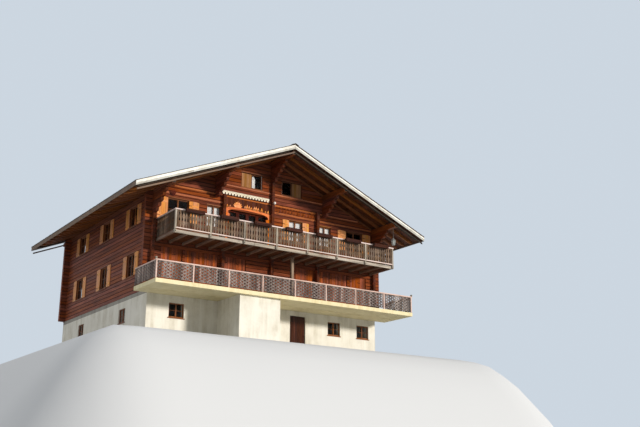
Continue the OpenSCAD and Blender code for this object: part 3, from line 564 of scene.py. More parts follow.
def shade(red, green, blue, title, text):
    return FloatVectorProperty(name=title, description=text, default=(red / 255, green / 255, blue / 255),
                               size=3, min=0, max=1, subtype="COLOR_GAMMA")


def length(default, title, text, low, high):
    return FloatProperty(name=title, description=text, default=default, min=low, max=high,
                         subtype="DISTANCE", unit="LENGTH")


def number(default, title, text, low, high):
    return IntProperty(name=title, description=text, default=default, min=low, max=high)


class ChaletSizes(PropertyGroup):
    """Sizes of the boards and carvings that finish the house."""
    log_height: length(0.192, "Log height", "Height of one course of squared logs", 0.12, 0.3)
    log_groove: length(0.018, "Log groove", "Chamfer at each joint between two logs", 0.002, 0.03)
    soffit_board: length(0.155, "Soffit board", "Width of the boards over the rafters", 0.08, 0.3)
    shingle_show: length(0.21, "Shingle exposure", "Part of a shingle below the next row", 0.1, 0.4)
    shingle_width: length(0.13, "Shingle width", "Usual width of a shingle", 0.06, 0.3)
    deck_board: length(0.14, "Deck board", "Width of the upper balcony's floor boards", 0.08, 0.25)
    baluster: length(0.128, "Baluster", "Width of a sawn baluster of the upper railing", 0.06, 0.2)
    lower_board: length(0.128, "Lower railing board", "Width of a fretwork board below", 0.06, 0.2)
    plank: length(0.125, "Door plank", "Width of the planks of doors", 0.08, 0.25)
    corbel_steps: number(5, "Corbel steps", "Stepped logs under a purlin", 2, 8)
    scallops: number(16, "Scallops", "Teeth of the board above the arch", 4, 30)
    fan_leaves: number(7, "Fan leaves", "Leaves of the carved fan", 3, 15)


class ChaletColours(PropertyGroup):
    """Colours of the finishes, as they look in plain daylight."""
    log: shade(138, 68, 37, "Logs", "Squared logs of the walls")
    log_dark: shade(80, 36, 21, "Dark grain", "Dark grain of the logs")
    log_light: shade(172, 96, 54, "Light grain", "Light grain of the logs")
    column: shade(128, 62, 34, "Log ends", "Stained log ends and corbels")
    roof_timber: shade(138, 76, 40, "Roof timber", "Purlins")
    rafter: shade(150, 92, 52, "Rafters", "Rafters under the roof")
    # Darker than the rafters: painted shade of the boards between the rafters
    soffit: shade(100, 56, 32, "Soffit", "Boards over the rafters")
    # Lighter than the logs: a painted highlight of the lit string courses
    moulding: shade(210, 130, 84, "Mouldings", "String courses on the gable")
    barge: shade(249, 247, 238, "Barge boards", "Paint of the barge boards")
    end_board: shade(134, 110, 92, "End boards", "Boards over the purlin ends")
    grey_wood: shade(176, 164, 148, "Weathered wood", "Fascia, posts and balusters")
    handrail: shade(226, 206, 198, "Handrail", "Old paint of the handrails")
    shutter: shade(246, 166, 100, "Shutters", "Oiled boards of the shutters")
    plank: shade(152, 78, 42, "Plank doors", "Planks of the lower doors")
    arch: shade(244, 132, 60, "Arch", "Carved arch board")
    cream: shade(244, 236, 216, "Cream boards", "Scalloped board")
    slab: shade(236, 224, 184, "Slab", "Painted edge and underside of the lower balcony")
    render: shade(236, 232, 220, "Render", "Rendered masonry")
    shingle: shade(108, 100, 92, "Shingles", "Weathered wooden shingles")


def finishes(c):
    """Every finish by name: its maker, the material's name, its colours and its looks.

    A timber has a dark, a middle and a light tone, then the spread of tones between boards, the
    roughness, the colour of weathering and its share, the growth bands per metre and the shine.
    """
    return {
        "logs": (timber, "squared_logs", (c.log_dark, c.log, c.log_light), 0.2, 0.6,
            (0.42, 0.21, 0.11), 0.2, 7.0),
        "frieze": (timber, "frieze_timber", (*tones(c.log, 0.6, 0.95), scaled(c.log_light, 0.9)), 0.12),
        "grooves": (timber, "log_grooves", tones(c.log_dark, 0.6, 0.85, 1.2), 0.1, 0.75),
        "columns": (timber, "stained_log_ends", tones(c.column, 0.55, 1, 1.4), 0.22, 0.66,
            (0.40, 0.28, 0.20), 0.18),
        # Log ends and corbel noses: darker end grain, and darker again as painted shade
        "log_noses": (timber, "log_end_grain", tones(c.column, 0.45, 0.72, 0.95), 0.25, 0.7,
            (0.34, 0.24, 0.17), 0.25),
        "joists": (timber, "joist_timber",
            ((0.32, 0.24, 0.19), (0.54, 0.43, 0.36), (0.70, 0.60, 0.52)), 0.15, 0.7,
            (0.68, 0.62, 0.57), 0.35),
        "roof_timber": (timber, "roof_timber", tones(c.roof_timber, 0.6, 1, 1.35), 0.2),
        "rafters": (timber, "rafter_timber", tones(c.rafter, 0.7, 1, 1.2), 0.12),
        # Soffit boards in darker tones: painted shade
        "soffit": (timber, "soffit_timber", tones(c.soffit, 0.6, 1, 1.3), 0.2),
        "end_boards": (timber, "end_boards", tones(c.end_board, 0.7, 1, 1.2), 0.1, 0.75,
            (0.5, 0.48, 0.45), 0.3),
        # Much darker end boards: weathering, and painted shade on the cover boards of the right slope
        "dark_end_boards": (timber, "sheltered_end_boards", tones(c.end_board, 0.25, 0.42, 0.62), 0.2,
            0.75, (0.36, 0.32, 0.27), 0.3),
        "grey": (timber, "weathered_timber", tones(c.grey_wood, 0.55, 1, 1.25), 0.12, 0.8,
            (0.72, 0.70, 0.66), 0.3, 12.0, 0.2),
        "post": (timber, "post_timber", ((0.36, 0.29, 0.24), (0.60, 0.51, 0.43), (0.72, 0.63, 0.54)),
            0.1, 0.8, (0.66, 0.60, 0.52), 0.3, 12.0, 0.2),
        "balusters": (timber, "baluster_boards",
            ((0.22, 0.15, 0.11), (0.44, 0.34, 0.26), (0.61, 0.50, 0.39)), 0.32, 0.78,
            (0.58, 0.54, 0.50), 0.3, 14.0, 0.2),
        "lower_boards": (timber, "lower_railing_boards",
            ((0.20, 0.16, 0.15), (0.43, 0.37, 0.35), (0.76, 0.70, 0.67)), 0.36, 0.78,
            (0.67, 0.64, 0.61), 0.3, 14.0, 0.2),
        "deck": (timber, "deck_boards", ((0.26, 0.15, 0.09), (0.44, 0.28, 0.18), (0.56, 0.39, 0.26)),
            0.2),
        "frames": (timber, "window_timber",
            ((0.36, 0.20, 0.12), (0.58, 0.36, 0.22), (0.70, 0.48, 0.32)), 0.10, 0.5),
        "shutters": (timber, "shutter_boards", tones(c.shutter, 0.68, 1, 1.22), 0.14, 0.52,
            (0.62, 0.48, 0.34), 0.2),
        "pale_boards": (timber, "pale_panel_boards",
            ((0.50, 0.33, 0.18), (0.66, 0.47, 0.28), (0.76, 0.58, 0.38)), 0.12, 0.55),
        "planks": (timber, "door_planks", tones(c.plank, 0.6, 1, 1.25), 0.3, 0.55),
        "dark_planks": (timber, "dark_planks",
            ((0.14, 0.07, 0.05), (0.26, 0.13, 0.08), (0.38, 0.21, 0.13)), 0.2),
        "arch": (timber, "arch_boards", tones(c.arch, 0.66, 1, 1.15), 0.1, 0.5),
        "arch_leaves": (timber, "carved_leaves",
            ((0.96, 0.60, 0.32), (0.99, 0.67, 0.39), (1.0, 0.78, 0.52)), 0.06, 0.55),
        # Boards behind the carved arch in darker log tones: painted shade of the recessed bay
        "backing": (timber, "backing_boards", (scaled(c.log_dark, 0.7), *tones(c.log, 0.66, 0.85)),
            0.2),
        # Loggia doors much darker than the other timber: painted shade of the recess
        "loggia_doors": (timber, "loggia_door_timber",
            ((0.14, 0.05, 0.03), (0.32, 0.12, 0.07), (0.44, 0.18, 0.11)), 0.2),
        # Mouldings in a lighter tone: painted highlight
        "trim": (timber, "moulding_timber", tones(c.moulding, 0.7, 1, 1.1), 0.10),
        "basket": (timber, "basket_rods", ((0.24, 0.08, 0.06), (0.44, 0.16, 0.12), (0.58, 0.26, 0.18)),
            0.25),
        "barge_low": (painted, "shaded_barge_paint", scaled(c.barge, 0.80), (0.52, 0.47, 0.40),
            (0.60, 0.56, 0.47)),
        "barge": (painted, "barge_paint", c.barge, (0.60, 0.55, 0.48), (0.74, 0.70, 0.60)),
        "lower_rail": (painted, "lower_rail_paint", np.multiply(c.handrail, (0.98, 0.93, 0.90)),
            (0.52, 0.42, 0.36), (0.62, 0.50, 0.44), 0.2),
        "rail": (painted, "handrail_paint", c.handrail, (0.55, 0.47, 0.42), (0.72, 0.60, 0.55), 0.25),
        "cream": (painted, "cream_paint", c.cream, (0.62, 0.50, 0.36), (0.80, 0.72, 0.54), 0.2),
        "shingles": (cladding, "wooden_shingles", tones(c.shingle, 0.5, 1, 1.45), (0.30, 0.32, 0.20)),
        "render": (plaster, "wall_render", c.render, (0.70, 0.66, 0.56)),
        "slab": (plaster, "slab_paint", c.slab, (0.70, 0.62, 0.36), 0.002, 0.35),
        "concrete": (plaster, "floor_concrete", (0.66, 0.64, 0.60), (0.44, 0.42, 0.40)),
        "lamp": (plaster, "lamp_glass", (0.96, 0.95, 0.92), (0.84, 0.83, 0.80), 0.0005, 0.2),
        "inner_floor": (plaster, "inner_floor", (0.44, 0.28, 0.18), (0.3, 0.18, 0.1), 0.001),
        "iron": (iron, "forged_iron", (0.10, 0.10, 0.10), (0.26, 0.14, 0.08)),
        "grey_metal": (iron, "grey_metal", (0.62, 0.62, 0.60), (0.45, 0.42, 0.38), 0.4),
        # The dark tint of the panes is painted shade of the rooms behind
        "glass": (glazing, "window_glass", (0.10, 0.12, 0.13), 0.93),
        "clear_glass": (glazing, "lantern_glass", (0.80, 0.82, 0.80), 0.5),
        "curtain": (woven, "curtain_cloth", (0.98, 0.98, 0.97), (0.90, 0.91, 0.92)),
    }


@functools.cache
def finish(name):
    """A finish by name, made the first time that it is asked for."""
    maker, *looks = finishes(bpy.context.scene.chalet_colours)[name]
    return maker(*looks)


# Pieces


def openings(*nodes):
    """The windows and doors that cut each wall: along from and to, low and high z, with a little play."""
    play = 0.003
    found = {side: [] for side in SIDES}
    for node in nodes:
        for side, a0, a1, z0, z1, _, _ in in_walls(node):
            found[side].append((a0 - play, a1 + play, z0, z1))
    return found


def free_runs(start, end, holes):
    """Stretches of a course between the openings."""
    runs, at = [], start
    for a0, a1 in sorted(holes):
        if a0 > at:
            runs.append((at, a0))
        at = max(at, a1)
    return runs + [(at, end)] * (end > at)


def log_run(stock, side, a0, a1, z0, z1, low, top, roof_end):
    """One length of squared log, with grooves at its joints and its ends cut to the roof slope."""
    ring = [(0, z0 + low), (0, z1 - top), (top, z1), (LOG_T - top, z1), (LOG_T, z1 - top),
            (LOG_T, z0 + low), (LOG_T - low, z0), (low, z0)]
    ring = [p for i, p in enumerate(ring) if p != ring[i - 1]]
    face, run, out = SIDES[side]
    points = [face + run * max(-roof_end(z), min(roof_end(z), a)) + Z * z - out * d
              for a in (a0, a1) for d, z in ring]
    n = len(ring)
    faces = [list(range(n)), list(range(2 * n - 1, n - 1, -1))]
    faces += [[i, i + n, (i + 1) % n + n, (i + 1) % n] for i in range(n)]
    if np.cross(points[1] - points[0], points[2] - points[0]) @ run > 0:
        faces = [f[::-1] for f in faces]
    grooves = [int(d != e and z != y) for (d, z), (e, y) in zip(ring, ring[1:] + ring[:1])]
    stock.add(points, faces, run, [0, 0] + grooves)


def log_wall(stock, side, end, z_from, z_to, holes, top, roof_end):
    """A wall of courses, cut round its openings."""
    sizes = bpy.context.scene.chalet_sizes
    groove, least = sizes.log_groove, 0.05
    for z0, z1 in parts(z_from, z_to, max(1, round((z_to - z_from) / sizes.log_height))):
        z1 = min(z1, top)
        reach = min(end, roof_end(z0))
        if z1 <= z0 or reach < least:
            break
        cuts = sorted({z for a in holes for z in a[2:] if z0 + 1e-4 < z < z1 - 1e-4} | {z0, z1})
        for low, high in zip(cuts, cuts[1:]):
            blocked = [a[:2] for a in holes if a[2] < (low + high) / 2 < a[3]]
            for a0, a1 in free_runs(-reach, reach, blocked):
                grooves = groove * (low == z0), groove * (high == z1)
                log_run(stock, side, a0, a1, low, high, *grooves, roof_end)


class CHALET_OT_log_walls(Operator):
    """Builds the walls of squared logs, storey by storey"""
    bl_idname = "chalet.log_walls"
    bl_label = "Log walls"

    def execute(self, context):
        holes = openings("window_frames", "plank_doors", "loggia_doors")
        size = context.scene.chalet_sizes.log_height
        gable_top = ATTIC + size * math.ceil((RIDGE - UNDER_RAFTERS - ATTIC) / size)
        eave_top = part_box("left_upper_wall")[1].z
        long, short = LOG_REACH, BACK - LOG_T
        # Name, CAD node, seed, half length, from and to z, top, and where the roof cuts the logs
        gabled = (("lower", "lower_wall", 10, long, FLOOR_1, FLOOR_2, FLOOR_2, anywhere),
                  ("upper", "upper_wall", 11, long, FLOOR_2, ATTIC, ATTIC, under_rafters_x),
                  ("gable", "gable", 20, HALF_W, ATTIC, gable_top, gable_top, under_rafters_x))
        eaved = (("lower", "lower_wall", 30, short, FLOOR_1, FLOOR_2, FLOOR_2, anywhere),
                 ("upper", "upper_wall", 31, short, FLOOR_2, ATTIC, eave_top, anywhere))
        for side in SIDES:
            storeys = eaved if side in ("left", "right") else gabled
            for name, node, seed, half, z0, z1, top, roof_end in storeys:
                stock = Stock(seed)
                log_wall(stock, side, half, z0, z1, holes[side], top, roof_end)
                stock.make(f"{side}_{name}_logs", "log_wall", "logs grooves", f"{side}_{node}")
        return {"FINISHED"}


def corbel_outline(reach, low, high):
    """Side view of a log end with a rounded nose and a step behind it."""
    h = high - low
    nose = h * 0.45
    back, joint = reach - nose - h * 0.62, 0.004
    belly = arc((reach - nose, low + nose + h * 0.12), nose, -90, 0, 6)
    return [(0, low + joint), (back, low + joint), (back, low + h * 0.10),
            (reach - nose - h * 0.1, low + h * 0.12), *belly,
            (reach, high - 0.016), (reach - 0.012, high - joint), (0, high - joint)]


class CHALET_OT_log_ends(Operator):
    """Builds the columns of log ends and the stepped corbels under the purlins"""
    bl_idname = "chalet.log_ends"
    bl_label = "Log ends and corbels"

    def execute(self, context):
        stock = Stock(40)
        sizes = context.scene.chalet_sizes
        points = np.array([v.co[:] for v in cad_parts["log_ends"].data.vertices])
        boxes = [("front" if low[1] < 0 else "back", low, high) for low, high in solids("log_ends")]
        reaches = [FRONT - low[1] if side == "front" else high[1] - BACK for side, low, high in boxes]
        plain, joint, setback = min(reaches), 0.002, 0.012
        for (side, low, high), far in zip(boxes, reaches):
            face, run, out = SIDES[side]
            a0, a1 = sorted(((low - face) @ run, (high - face) @ run))
            inside = points[np.all((points >= low - 1e-4) & (points <= high + 1e-4), axis=1)]
            stepped = [p[2] for p in inside if (p - face) @ out > plain + 0.02]
            corbel_low = min(stepped, default=high[2])
            courses = parts(low[2], corbel_low, round((corbel_low - low[2]) / sizes.log_height))
            for k, (z0, z1) in enumerate(courses):
                jut = plain - setback * (k % 2) - stock.chance.uniform(0, 0.01)
                stock.on_wall(side, a0, a1, z0 + joint, z1 - joint, -jut, 0.0, 0.01, out)
                stock.faced(out, 1)
            steps = parts(corbel_low, high[2], sizes.corbel_steps if stepped else 0)
            for k, (z0, z1) in enumerate(steps, 1):
                shape = corbel_outline(plain + (far - plain) * k / len(steps), z0, z1)
                stock.prism([shape], face + run * a0, out, Z, run * (a1 - a0), out, 0.008)
                stock.faced(out, 1)
        stock.make("log_end_columns", "dark_logs", "columns log_noses", "log_ends")
        return {"FINISHED"}


class CHALET_OT_roof_timbers(Operator):
    """Builds purlins, rafters, soffit boards and the boards over the purlin ends"""
    bl_idname = "chalet.roof_timbers"
    bl_label = "Roof timbers"

    def execute(self, context):
        self.purlins()
        self.rafters()
        self.soffit(context.scene.chalet_sizes)
        stock = Stock(53)
        for side, x0, x1, drops, y0, y1 in on_roof_edges("purlin_end_boards"):
            joint = x0 + (x1 - x0) * 0.52
            for xa, xb in ((x0, joint - 0.002), (joint, x1)):
                # The cover boards of the right slope take the darker finish: painted shade
                stock.on_slope(side, xa, xb, *drops, y0, y1, 0.006, int(side > 0))
        stock.make("end_cover_boards", "weathered_board", "end_boards dark_end_boards", "purlin_end_boards")
        return {"FINISHED"}

    def purlins(self):
        stock = Stock(50)
        for low, high in solids("purlins"):
            ring = [(low[0], low[2]), (high[0], low[2])]
            crown = [0.0] if low[0] < 0 < high[0] else []
            ring += [(x, roof_z(x, UNDER_RAFTERS)) for x in (high[0], *crown, low[0])]
            stock.through([ring], low[1], high[1], Y, 0.012)
            stock.faced(-Y, 1)
            stock.faced(Y, 1)
        stock.make("purlin_beams", "roof_timber", "roof_timber dark_end_boards", "purlins")

    def rafters(self):
        """Rafters with a carved tail; the outermost pair is weathered."""
        stock = Stock(51)
        x1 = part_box("rafters")[1].x
        tail = [(x1 - back, roof_z(x1 - back, UNDER_RAFTERS - lift))
                for back, lift in ((0.20, 0.0), (0.16, 0.03), (0.06, 0.04), (0.0, 0.075))]
        places = sorted({(round(low[1], 4), round(high[1], 4)) for low, high in solids("rafters")})
        for y0, y1 in places:
            tone = int((y0, y1) in (places[0], places[-1]))
            for side in (-1, 1):
                stock.on_slope(side, 0.001, x1, ON_RAFTERS, UNDER_RAFTERS, y0, y1, 0.006, tone, tail)
        stock.make("rafter_beams", "roof_timber", "rafters dark_end_boards", "rafters")

    def soffit(self, sizes):
        """Boards over the rafters, butted at changing places, under one layer of filling."""
        stock = Stock(52)
        board_t = 0.024
        y0, y1, edge_x = BOARDING_LOW.y, BOARDING_HIGH.y, BOARDING_HIGH.x
        count = round((edge_x - RIDGE_X) * SLOPE / sizes.soffit_board)
        top = ON_RAFTERS - board_t * SLOPE
        for side in (-1, 1):
            for x0, x1 in parts(RIDGE_X, edge_x, count, 0.002):
                cut = y0 + (y1 - y0) * stock.chance.choice((0.3, 0.42, 0.55, 0.68))
                for ya, yb in ((y0, cut), (cut, y1)):
                    stock.on_slope(side, x0, x1, top, ON_RAFTERS, ya, yb - 0.001, 0.003)
            stock.on_slope(side, RIDGE_X, edge_x, 0.0, top - 0.004, y0, y1, 0.0)
        stock.make("soffit_boards", "roof_timber", "soffit", "roof_boarding")


class CHALET_OT_barge_boards(Operator):
    """Builds the painted barge boards and the eave boards"""
    bl_idname = "chalet.barge_boards"
    bl_label = "Barge and eave boards"

    def execute(self, context):
        stock = Stock(60)
        # Lips on the board's face: how far they stand out, and their plumb drops
        lips = ((0.016, 0.035, 0.125), (0.018, 0.0, 0.035))
        for side, x0, x1, drops, y0, y1 in on_roof_edges("barge_boards"):
            for xa, xb in joined(x0, x1, 3, 0.003):
                stock.on_slope(side, xa, xb, 0.0, drops[1], y0, y1, 0.005, 2)
            for lip, drop0, drop1 in lips:
                # The top lip is dark on the right slope and pale on the left: painted shade and painted
                # light of the verge edge
                tone = int(side > 0 and drop0 == 0)
                ya, yb = (y0 - lip, y0) if y0 < 0 else (y1, y1 + lip)
                for xa, xb in joined(x0, x1, 2, 0.003):
                    stock.on_slope(side, xa, xb, drop0, drop1, ya, yb, 0.003, tone)
        stock.make("barge_board_pairs", "pale_paint", "barge dark_planks barge_low", "barge_boards")
        stock = Stock(61)
        for side, x0, x1, drops, y0, y1 in on_roof_edges("eave_boards"):
            for ya, yb in parts(y0, y1, 4, 0.002):
                stock.on_slope(side, x0, x1, 0.0, drops[1], ya, yb, 0.004)
        stock.make("eave_fascia_boards", "weathered_board", "end_boards", "eave_boards")
        return {"FINISHED"}


class CHALET_OT_shingles(Operator):
    """Lays the wooden shingles row by row and the ridge boards"""
    bl_idname = "chalet.shingles"
    bl_label = "Shingles"

    def execute(self, context):
        for side, name in ((-1, "left_shingles"), (1, "right_shingles")):
            stock = Stock(70 + side)
            stock.on_slope(side, RIDGE_X, COVER_HIGH.x - 0.03, -0.016, 0.0, COVER_LOW.y + 0.02,
                           COVER_HIGH.y - 0.02, 0.0)
            self.rows(stock, side, context.scene.chalet_sizes)
            stock.make(name, "shingles", "shingles", "roof_covering")
        stock = Stock(72)
        half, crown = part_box("ridge_cap")[1].x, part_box("ridge_cap")[1].z
        thick = 0.03
        for side in (-1, 1):
            for k, (ya, yb) in enumerate(parts(COVER_LOW.y, COVER_HIGH.y, 9, 0.004)):
                dip = 0.002 * (k % 2)
                ring = [(0.0, crown - thick), (side * half, crown - thick - RISE * half),
                        (side * half, crown - RISE * half - dip), (0.0, crown - dip)]
                stock.through([ring], ya, yb, Y, 0.004)
        stock.make("ridge_boards", "shingles", "shingles", "ridge_cap")
        return {"FINISHED"}

    def rows(self, stock, side, sizes):
        """Rows of shingles from the eave up, each laid over the next one's butt."""
        show, play, eave, least = sizes.shingle_show, 0.004, 0.018, 0.06
        long, thick, lift = 2.1 * show, 0.014, 0.036
        down, normal = unit([side, 0, -RISE]), unit([side * RISE, 0, 1])
        ridge = np.array([side * RIDGE_X, 0, roof_z(RIDGE_X)])
        run = (COVER_HIGH.x - RIDGE_X) * SLOPE
        faces = [[0, 3, 2, 1], [3, 4, 5, 2], [0, 6, 4, 3], [1, 2, 5, 7]]
        faces = faces if side > 0 else [f[::-1] for f in faces]
        for row in range(int(run / show) + 1):
            butt = run - eave - row * show
            head = max(butt - long, 0.02)
            if butt - head < least:
                continue
            y = COVER_LOW.y + play
            while y < COVER_HIGH.y - 0.03:
                w = min(sizes.shingle_width * stock.chance.uniform(0.65, 1.35), COVER_HIGH.y - play - y)
                end = butt - stock.chance.uniform(0.0, 0.016)
                raised = lift + stock.chance.uniform(-0.002, 0.004)
                top = [ridge + down * head + normal * 0.017 + Y * (y + s) for s in (0.002, w - 0.002)]
                low = [ridge + down * end + normal * raised + Y * (y + s) for s in (w - 0.002, 0.002)]
                under = [low[1] - normal * thick, low[0] - normal * thick]
                stock.add([*top, *low, *under, *(p - normal * 0.003 for p in top)], faces, down)
                y += w


class CHALET_OT_balcony_deck(Operator):
    """Builds the joists, floor boards, fascia and post of the upper balcony"""
    bl_idname = "chalet.balcony_deck"
    bl_label = "Balcony deck"

    def execute(self, context):
        stock = Stock(80)
        for low, high in solids("balcony_joists"):
            stock.board(low, high, 0.008)
        stock.make("joist_beams", "dark_logs", "joists", "balcony_joists")
        stock = Stock(81)
        low, high = whole("balcony_floor")
        count = round((high[1] - low[1]) / context.scene.chalet_sizes.deck_board)
        for ya, yb in parts(low[1], high[1], count, 0.006):
            cut = low[0] + (high[0] - low[0]) * stock.chance.choice((0.25, 0.4, 0.6, 0.75))
            for xa, xb in ((low[0], cut - 0.002), (cut, high[0])):
                stock.board([xa, ya, low[2]], [xb, yb, high[2]])
        stock.make("deck_planks", "floor_boards", "deck", "balcony_floor")
        stock = Stock(82)
        low, high = whole("balcony_fascia")
        for xa, xb in parts(low[0], high[0], 3, 0.003):
            stock.board([xa, *low[1:]], [xb, *high[1:]], 0.010)
        stock.make("fascia_beam", "grey_timber", "grey", "balcony_fascia")
        stock = Stock(83)
        low, high = whole("balcony_post")
        foot, head, inset = 0.12, 0.05, 0.012
        stock.board(low + [inset, inset, foot], high - [inset, inset, head], 0.014)
        stock.board(low, [*high[:2], low[2] + foot], 0.01, along=Z)
        stock.board([*low[:2], high[2] - head], high, 0.01, along=X)
        stock.make("middle_post", "grey_timber", "post", "balcony_post")
        return {"FINISHED"}


def baluster_outline(width, height):
    """A sawn baluster's waisted outline: shares of its half width at shares of its height, mirrored."""
    lower = ((0.0, 1.0), (0.06, 1.0), (0.11, 0.70), (0.17, 0.60), (0.24, 0.80), (0.31, 1.0), (0.38, 0.90),
             (0.44, 0.66), (0.50, 0.56))
    stations = lower + tuple((1 - t, w) for t, w in lower[-2::-1])
    right = [(width / 2 * w, height * t) for t, w in stations]
    return right + [(-x, z) for x, z in right[::-1]]


def fields(node, board):
    """Each field of a railing: corners, directions along and through, thickness, pitch and places."""
    for low, high in solids(node):
        size = high - low
        run = X if size[0] > size[1] else Y
        inner = X + Y - run
        count = max(2, round(size @ run / board))
        pitch = size @ run / count
        places = [low + run * ((k + 0.5) * pitch) for k in range(count)]
        yield low, high, run, inner, size @ inner, pitch, places


class CHALET_OT_upper_railing(Operator):
    """Builds the posts, rails, sawn balusters and flower boxes of the upper balcony"""
    bl_idname = "chalet.upper_railing"
    bl_label = "Upper railing"

    def execute(self, context):
        self.posts()
        rails = Stock(91)
        for low, high in solids("railing_rails"):
            if high[0] - low[0] > 3:
                for xa, xb in parts(low[0], high[0], 3, 0.002):
                    rails.board([xa, *low[1:]], [xb, *high[1:]], 0.016)
            else:
                rails.board(low, high, 0.016 if high[2] - low[2] > 0.055 else 0.005)
        rails.make("upper_rails", "rail_paint", "rail", "railing_rails")
        sticks = Stock(92)
        wide = context.scene.chalet_sizes.baluster
        rail_h, rail_t, eye = 0.055, 0.028, 0.015
        for low, high, run, inner, thick, pitch, places in fields("railing_fretwork", wide + 0.014):
            tall = high[2] - low[2]
            shape = baluster_outline(min(wide, pitch - 0.012), tall)
            eyes = [arc((0, tall * t), eye, 0, 315, 7) for t in (0.30, 0.70)]
            for origin in places:
                sticks.prism([shape, *eyes], origin, run, Z, inner * thick, Z)
            for z in (low[2] + 0.03, high[2] - rail_h - 0.035):
                a = low * [1, 1, 0] + inner * (thick - 0.001) + Z * z
                sticks.board(a, a + run * pitch * len(places) + inner * rail_t + Z * rail_h)
        sticks.make("upper_balusters", "fretwork_brown", "balusters", "railing_fretwork")
        self.tubs()
        return {"FINISHED"}

    def posts(self):
        """Posts with a pointed foot and two bolts into the fascia."""
        stock = Stock(90)
        foot, cheek, bolt = 0.05, 0.012, 0.016
        for low, high in solids("railing_posts"):
            stock.board(low + Z * foot, high, 0.008, along=Z)
            wide = high[0] - low[0]
            ring = [(0, foot), (wide * 0.18, cheek), (wide * 0.5, 0.0), (wide * 0.82, cheek), (wide, foot)]
            stock.prism([ring], low, X, Z, Y * (high[1] - low[1]), Z, 0.004)
            head = sized(bolt, ((1.5, 0), (1.5, 0.003), (1, 0.004), (0.9, 0.010), (0.4, 0.014)))
            for z in (0.075, 0.165):
                stock.turned(head, ((low[0] + high[0]) / 2, low[1], low[2] + z), 10, -Y, 1)
        stock.make("upper_railing_posts", "grey_timber", "grey iron", "railing_posts")

    def tubs(self):
        """Empty flower boxes of two rows of boards, a bottom and two brackets."""
        stock = Stock(93)
        t = 0.018
        for (x0, y0, low), (x1, y1, high) in solids("flower_boxes"):
            for z0, z1 in parts(low, high, 2, 0.003):
                for y in (y0, y1 - t):
                    stock.board([x0, y, z0], [x1, y + t, z1], 0.003)
                for x in (x0, x1 - t):
                    stock.board([x, y0 + t, z0], [x + t, y1 - t, z1], 0.003, along=Y)
            stock.board([x0 + t, y0 + t, low], [x1 - t, y1 - t, low + t], 0.003)
            for x in (x0 + 0.08, x1 - 0.12):
                stock.board([x, y0 - 0.012, low], [x + 0.04, y0, high - 0.006], 0.003, along=Z)
        stock.make("planter_boxes", "dark_planks", "dark_planks", "flower_boxes")


def lace_board(width, height, turn):
    """A pierced board of the lower railing: staggered bites in its edges, cut-outs down its middle."""
    half, rows, bite = width / 2, 5, 0.040
    step = height / rows
    sides = []
    for at_mid in (turn, not turn):
        edge = [(half, 0.0)]
        for z in ((k + 0.5 if at_mid else k + 1) * step for k in range(rows if at_mid else rows - 1)):
            notch = arc((half, z), bite, 250, 110, 6)[1:-1]
            edge += [(half, z - bite - 0.004), *notch, (half, z + bite + 0.004)]
        sides.append(edge + [(half, height)])
    holes = []
    for k in range(2 * rows):
        z = (k + 0.5) * step / 2
        lean = 0.012 if k % 2 == turn else -0.012
        holes.append([(lean, z - 0.036), (0.022 + lean, z), (lean, z + 0.032), (lean - 0.020, z + 0.004)])
    return [sides[0] + [(-x, z) for x, z in sides[1][::-1]], *holes]


class CHALET_OT_lower_railing(Operator):
    """Builds the posts, rails with knobs and pierced boards of the lower balcony"""
    bl_idname = "chalet.lower_railing"
    bl_label = "Lower railing"

    def execute(self, context):
        posts = Stock(100)
        plate, rim = 0.012, 0.02
        stands = solids("lower_railing_posts")
        for low, high in stands:
            posts.board(low + Z * plate, high, 0.006)
            posts.board(low - [rim, rim, 0], [*(high[:2] + rim), low[2] + plate], 0.003, finish=1)
        posts.make("lower_posts", "grey_timber", "lower_rail grey", "lower_railing_posts")
        self.rails(*stands[0])
        stock = Stock(102)
        wide = context.scene.chalet_sizes.lower_board
        rail_h, rail_t = 0.04, 0.022
        for low, high, run, inner, thick, pitch, places in fields("lower_railing_fretwork", wide + 0.008):
            shapes = [lace_board(pitch - 0.005, high[2] - low[2], turn) for turn in (0, 1)]
            for k, origin in enumerate(places):
                stock.prism(shapes[k % 2], origin, run, Z, inner * thick, Z)
            for z in (low[2] + 0.02, high[2] - 0.06):
                a = low * [1, 1, 0] + inner * thick + Z * z
                stock.board(a, a + run * pitch * len(places) + inner * rail_t + Z * rail_h, 0.003)
        stock.make("lower_fretwork_boards", "fretwork_grey", "lower_boards", "lower_railing_fretwork")
        return {"FINISHED"}

    def rails(self, post_low, post_high):
        """Handrails in four lengths, with a knob at each front corner."""
        stock = Stock(101)
        boxes = solids("lower_railing_rails")
        knob_top = max(high[2] for low, high in boxes)
        for low, high in boxes:
            if high[2] - low[2] < 0.1 and high[0] - low[0] < 3:
                stock.board(low, high, 0.014)
        top = max(high[2] for low, high in boxes if high[2] < knob_top - 0.01)
        low, high = max(boxes, key=lambda b: b[1][0] - b[0][0])
        y, half_w, edge = (post_low[1] + post_high[1]) / 2, 0.045, 0.014
        for xa, xb in parts(low[0], high[0], 4, 0.002):
            stock.board([xa, y - half_w, post_high[2]], [xb, y + half_w, top], edge)
        r = (knob_top - top) / 2 * 1.06
        ball = [(r * 0.62, 0.0), (r * 0.62, 0.008), (r * 0.42, 0.014)]
        ball += [(x, min(h, knob_top - top + 0.002)) for x, h in arc((0, 0.008 + r), r, -62, 84, 9)]
        for side in (-1, 1):
            stock.turned(ball, (side * (abs(low[0]) - 0.03), y, top - 0.004), finish=1)
        stock.make("lower_rails", "rail_paint", "lower_rail grey", "lower_railing_rails")


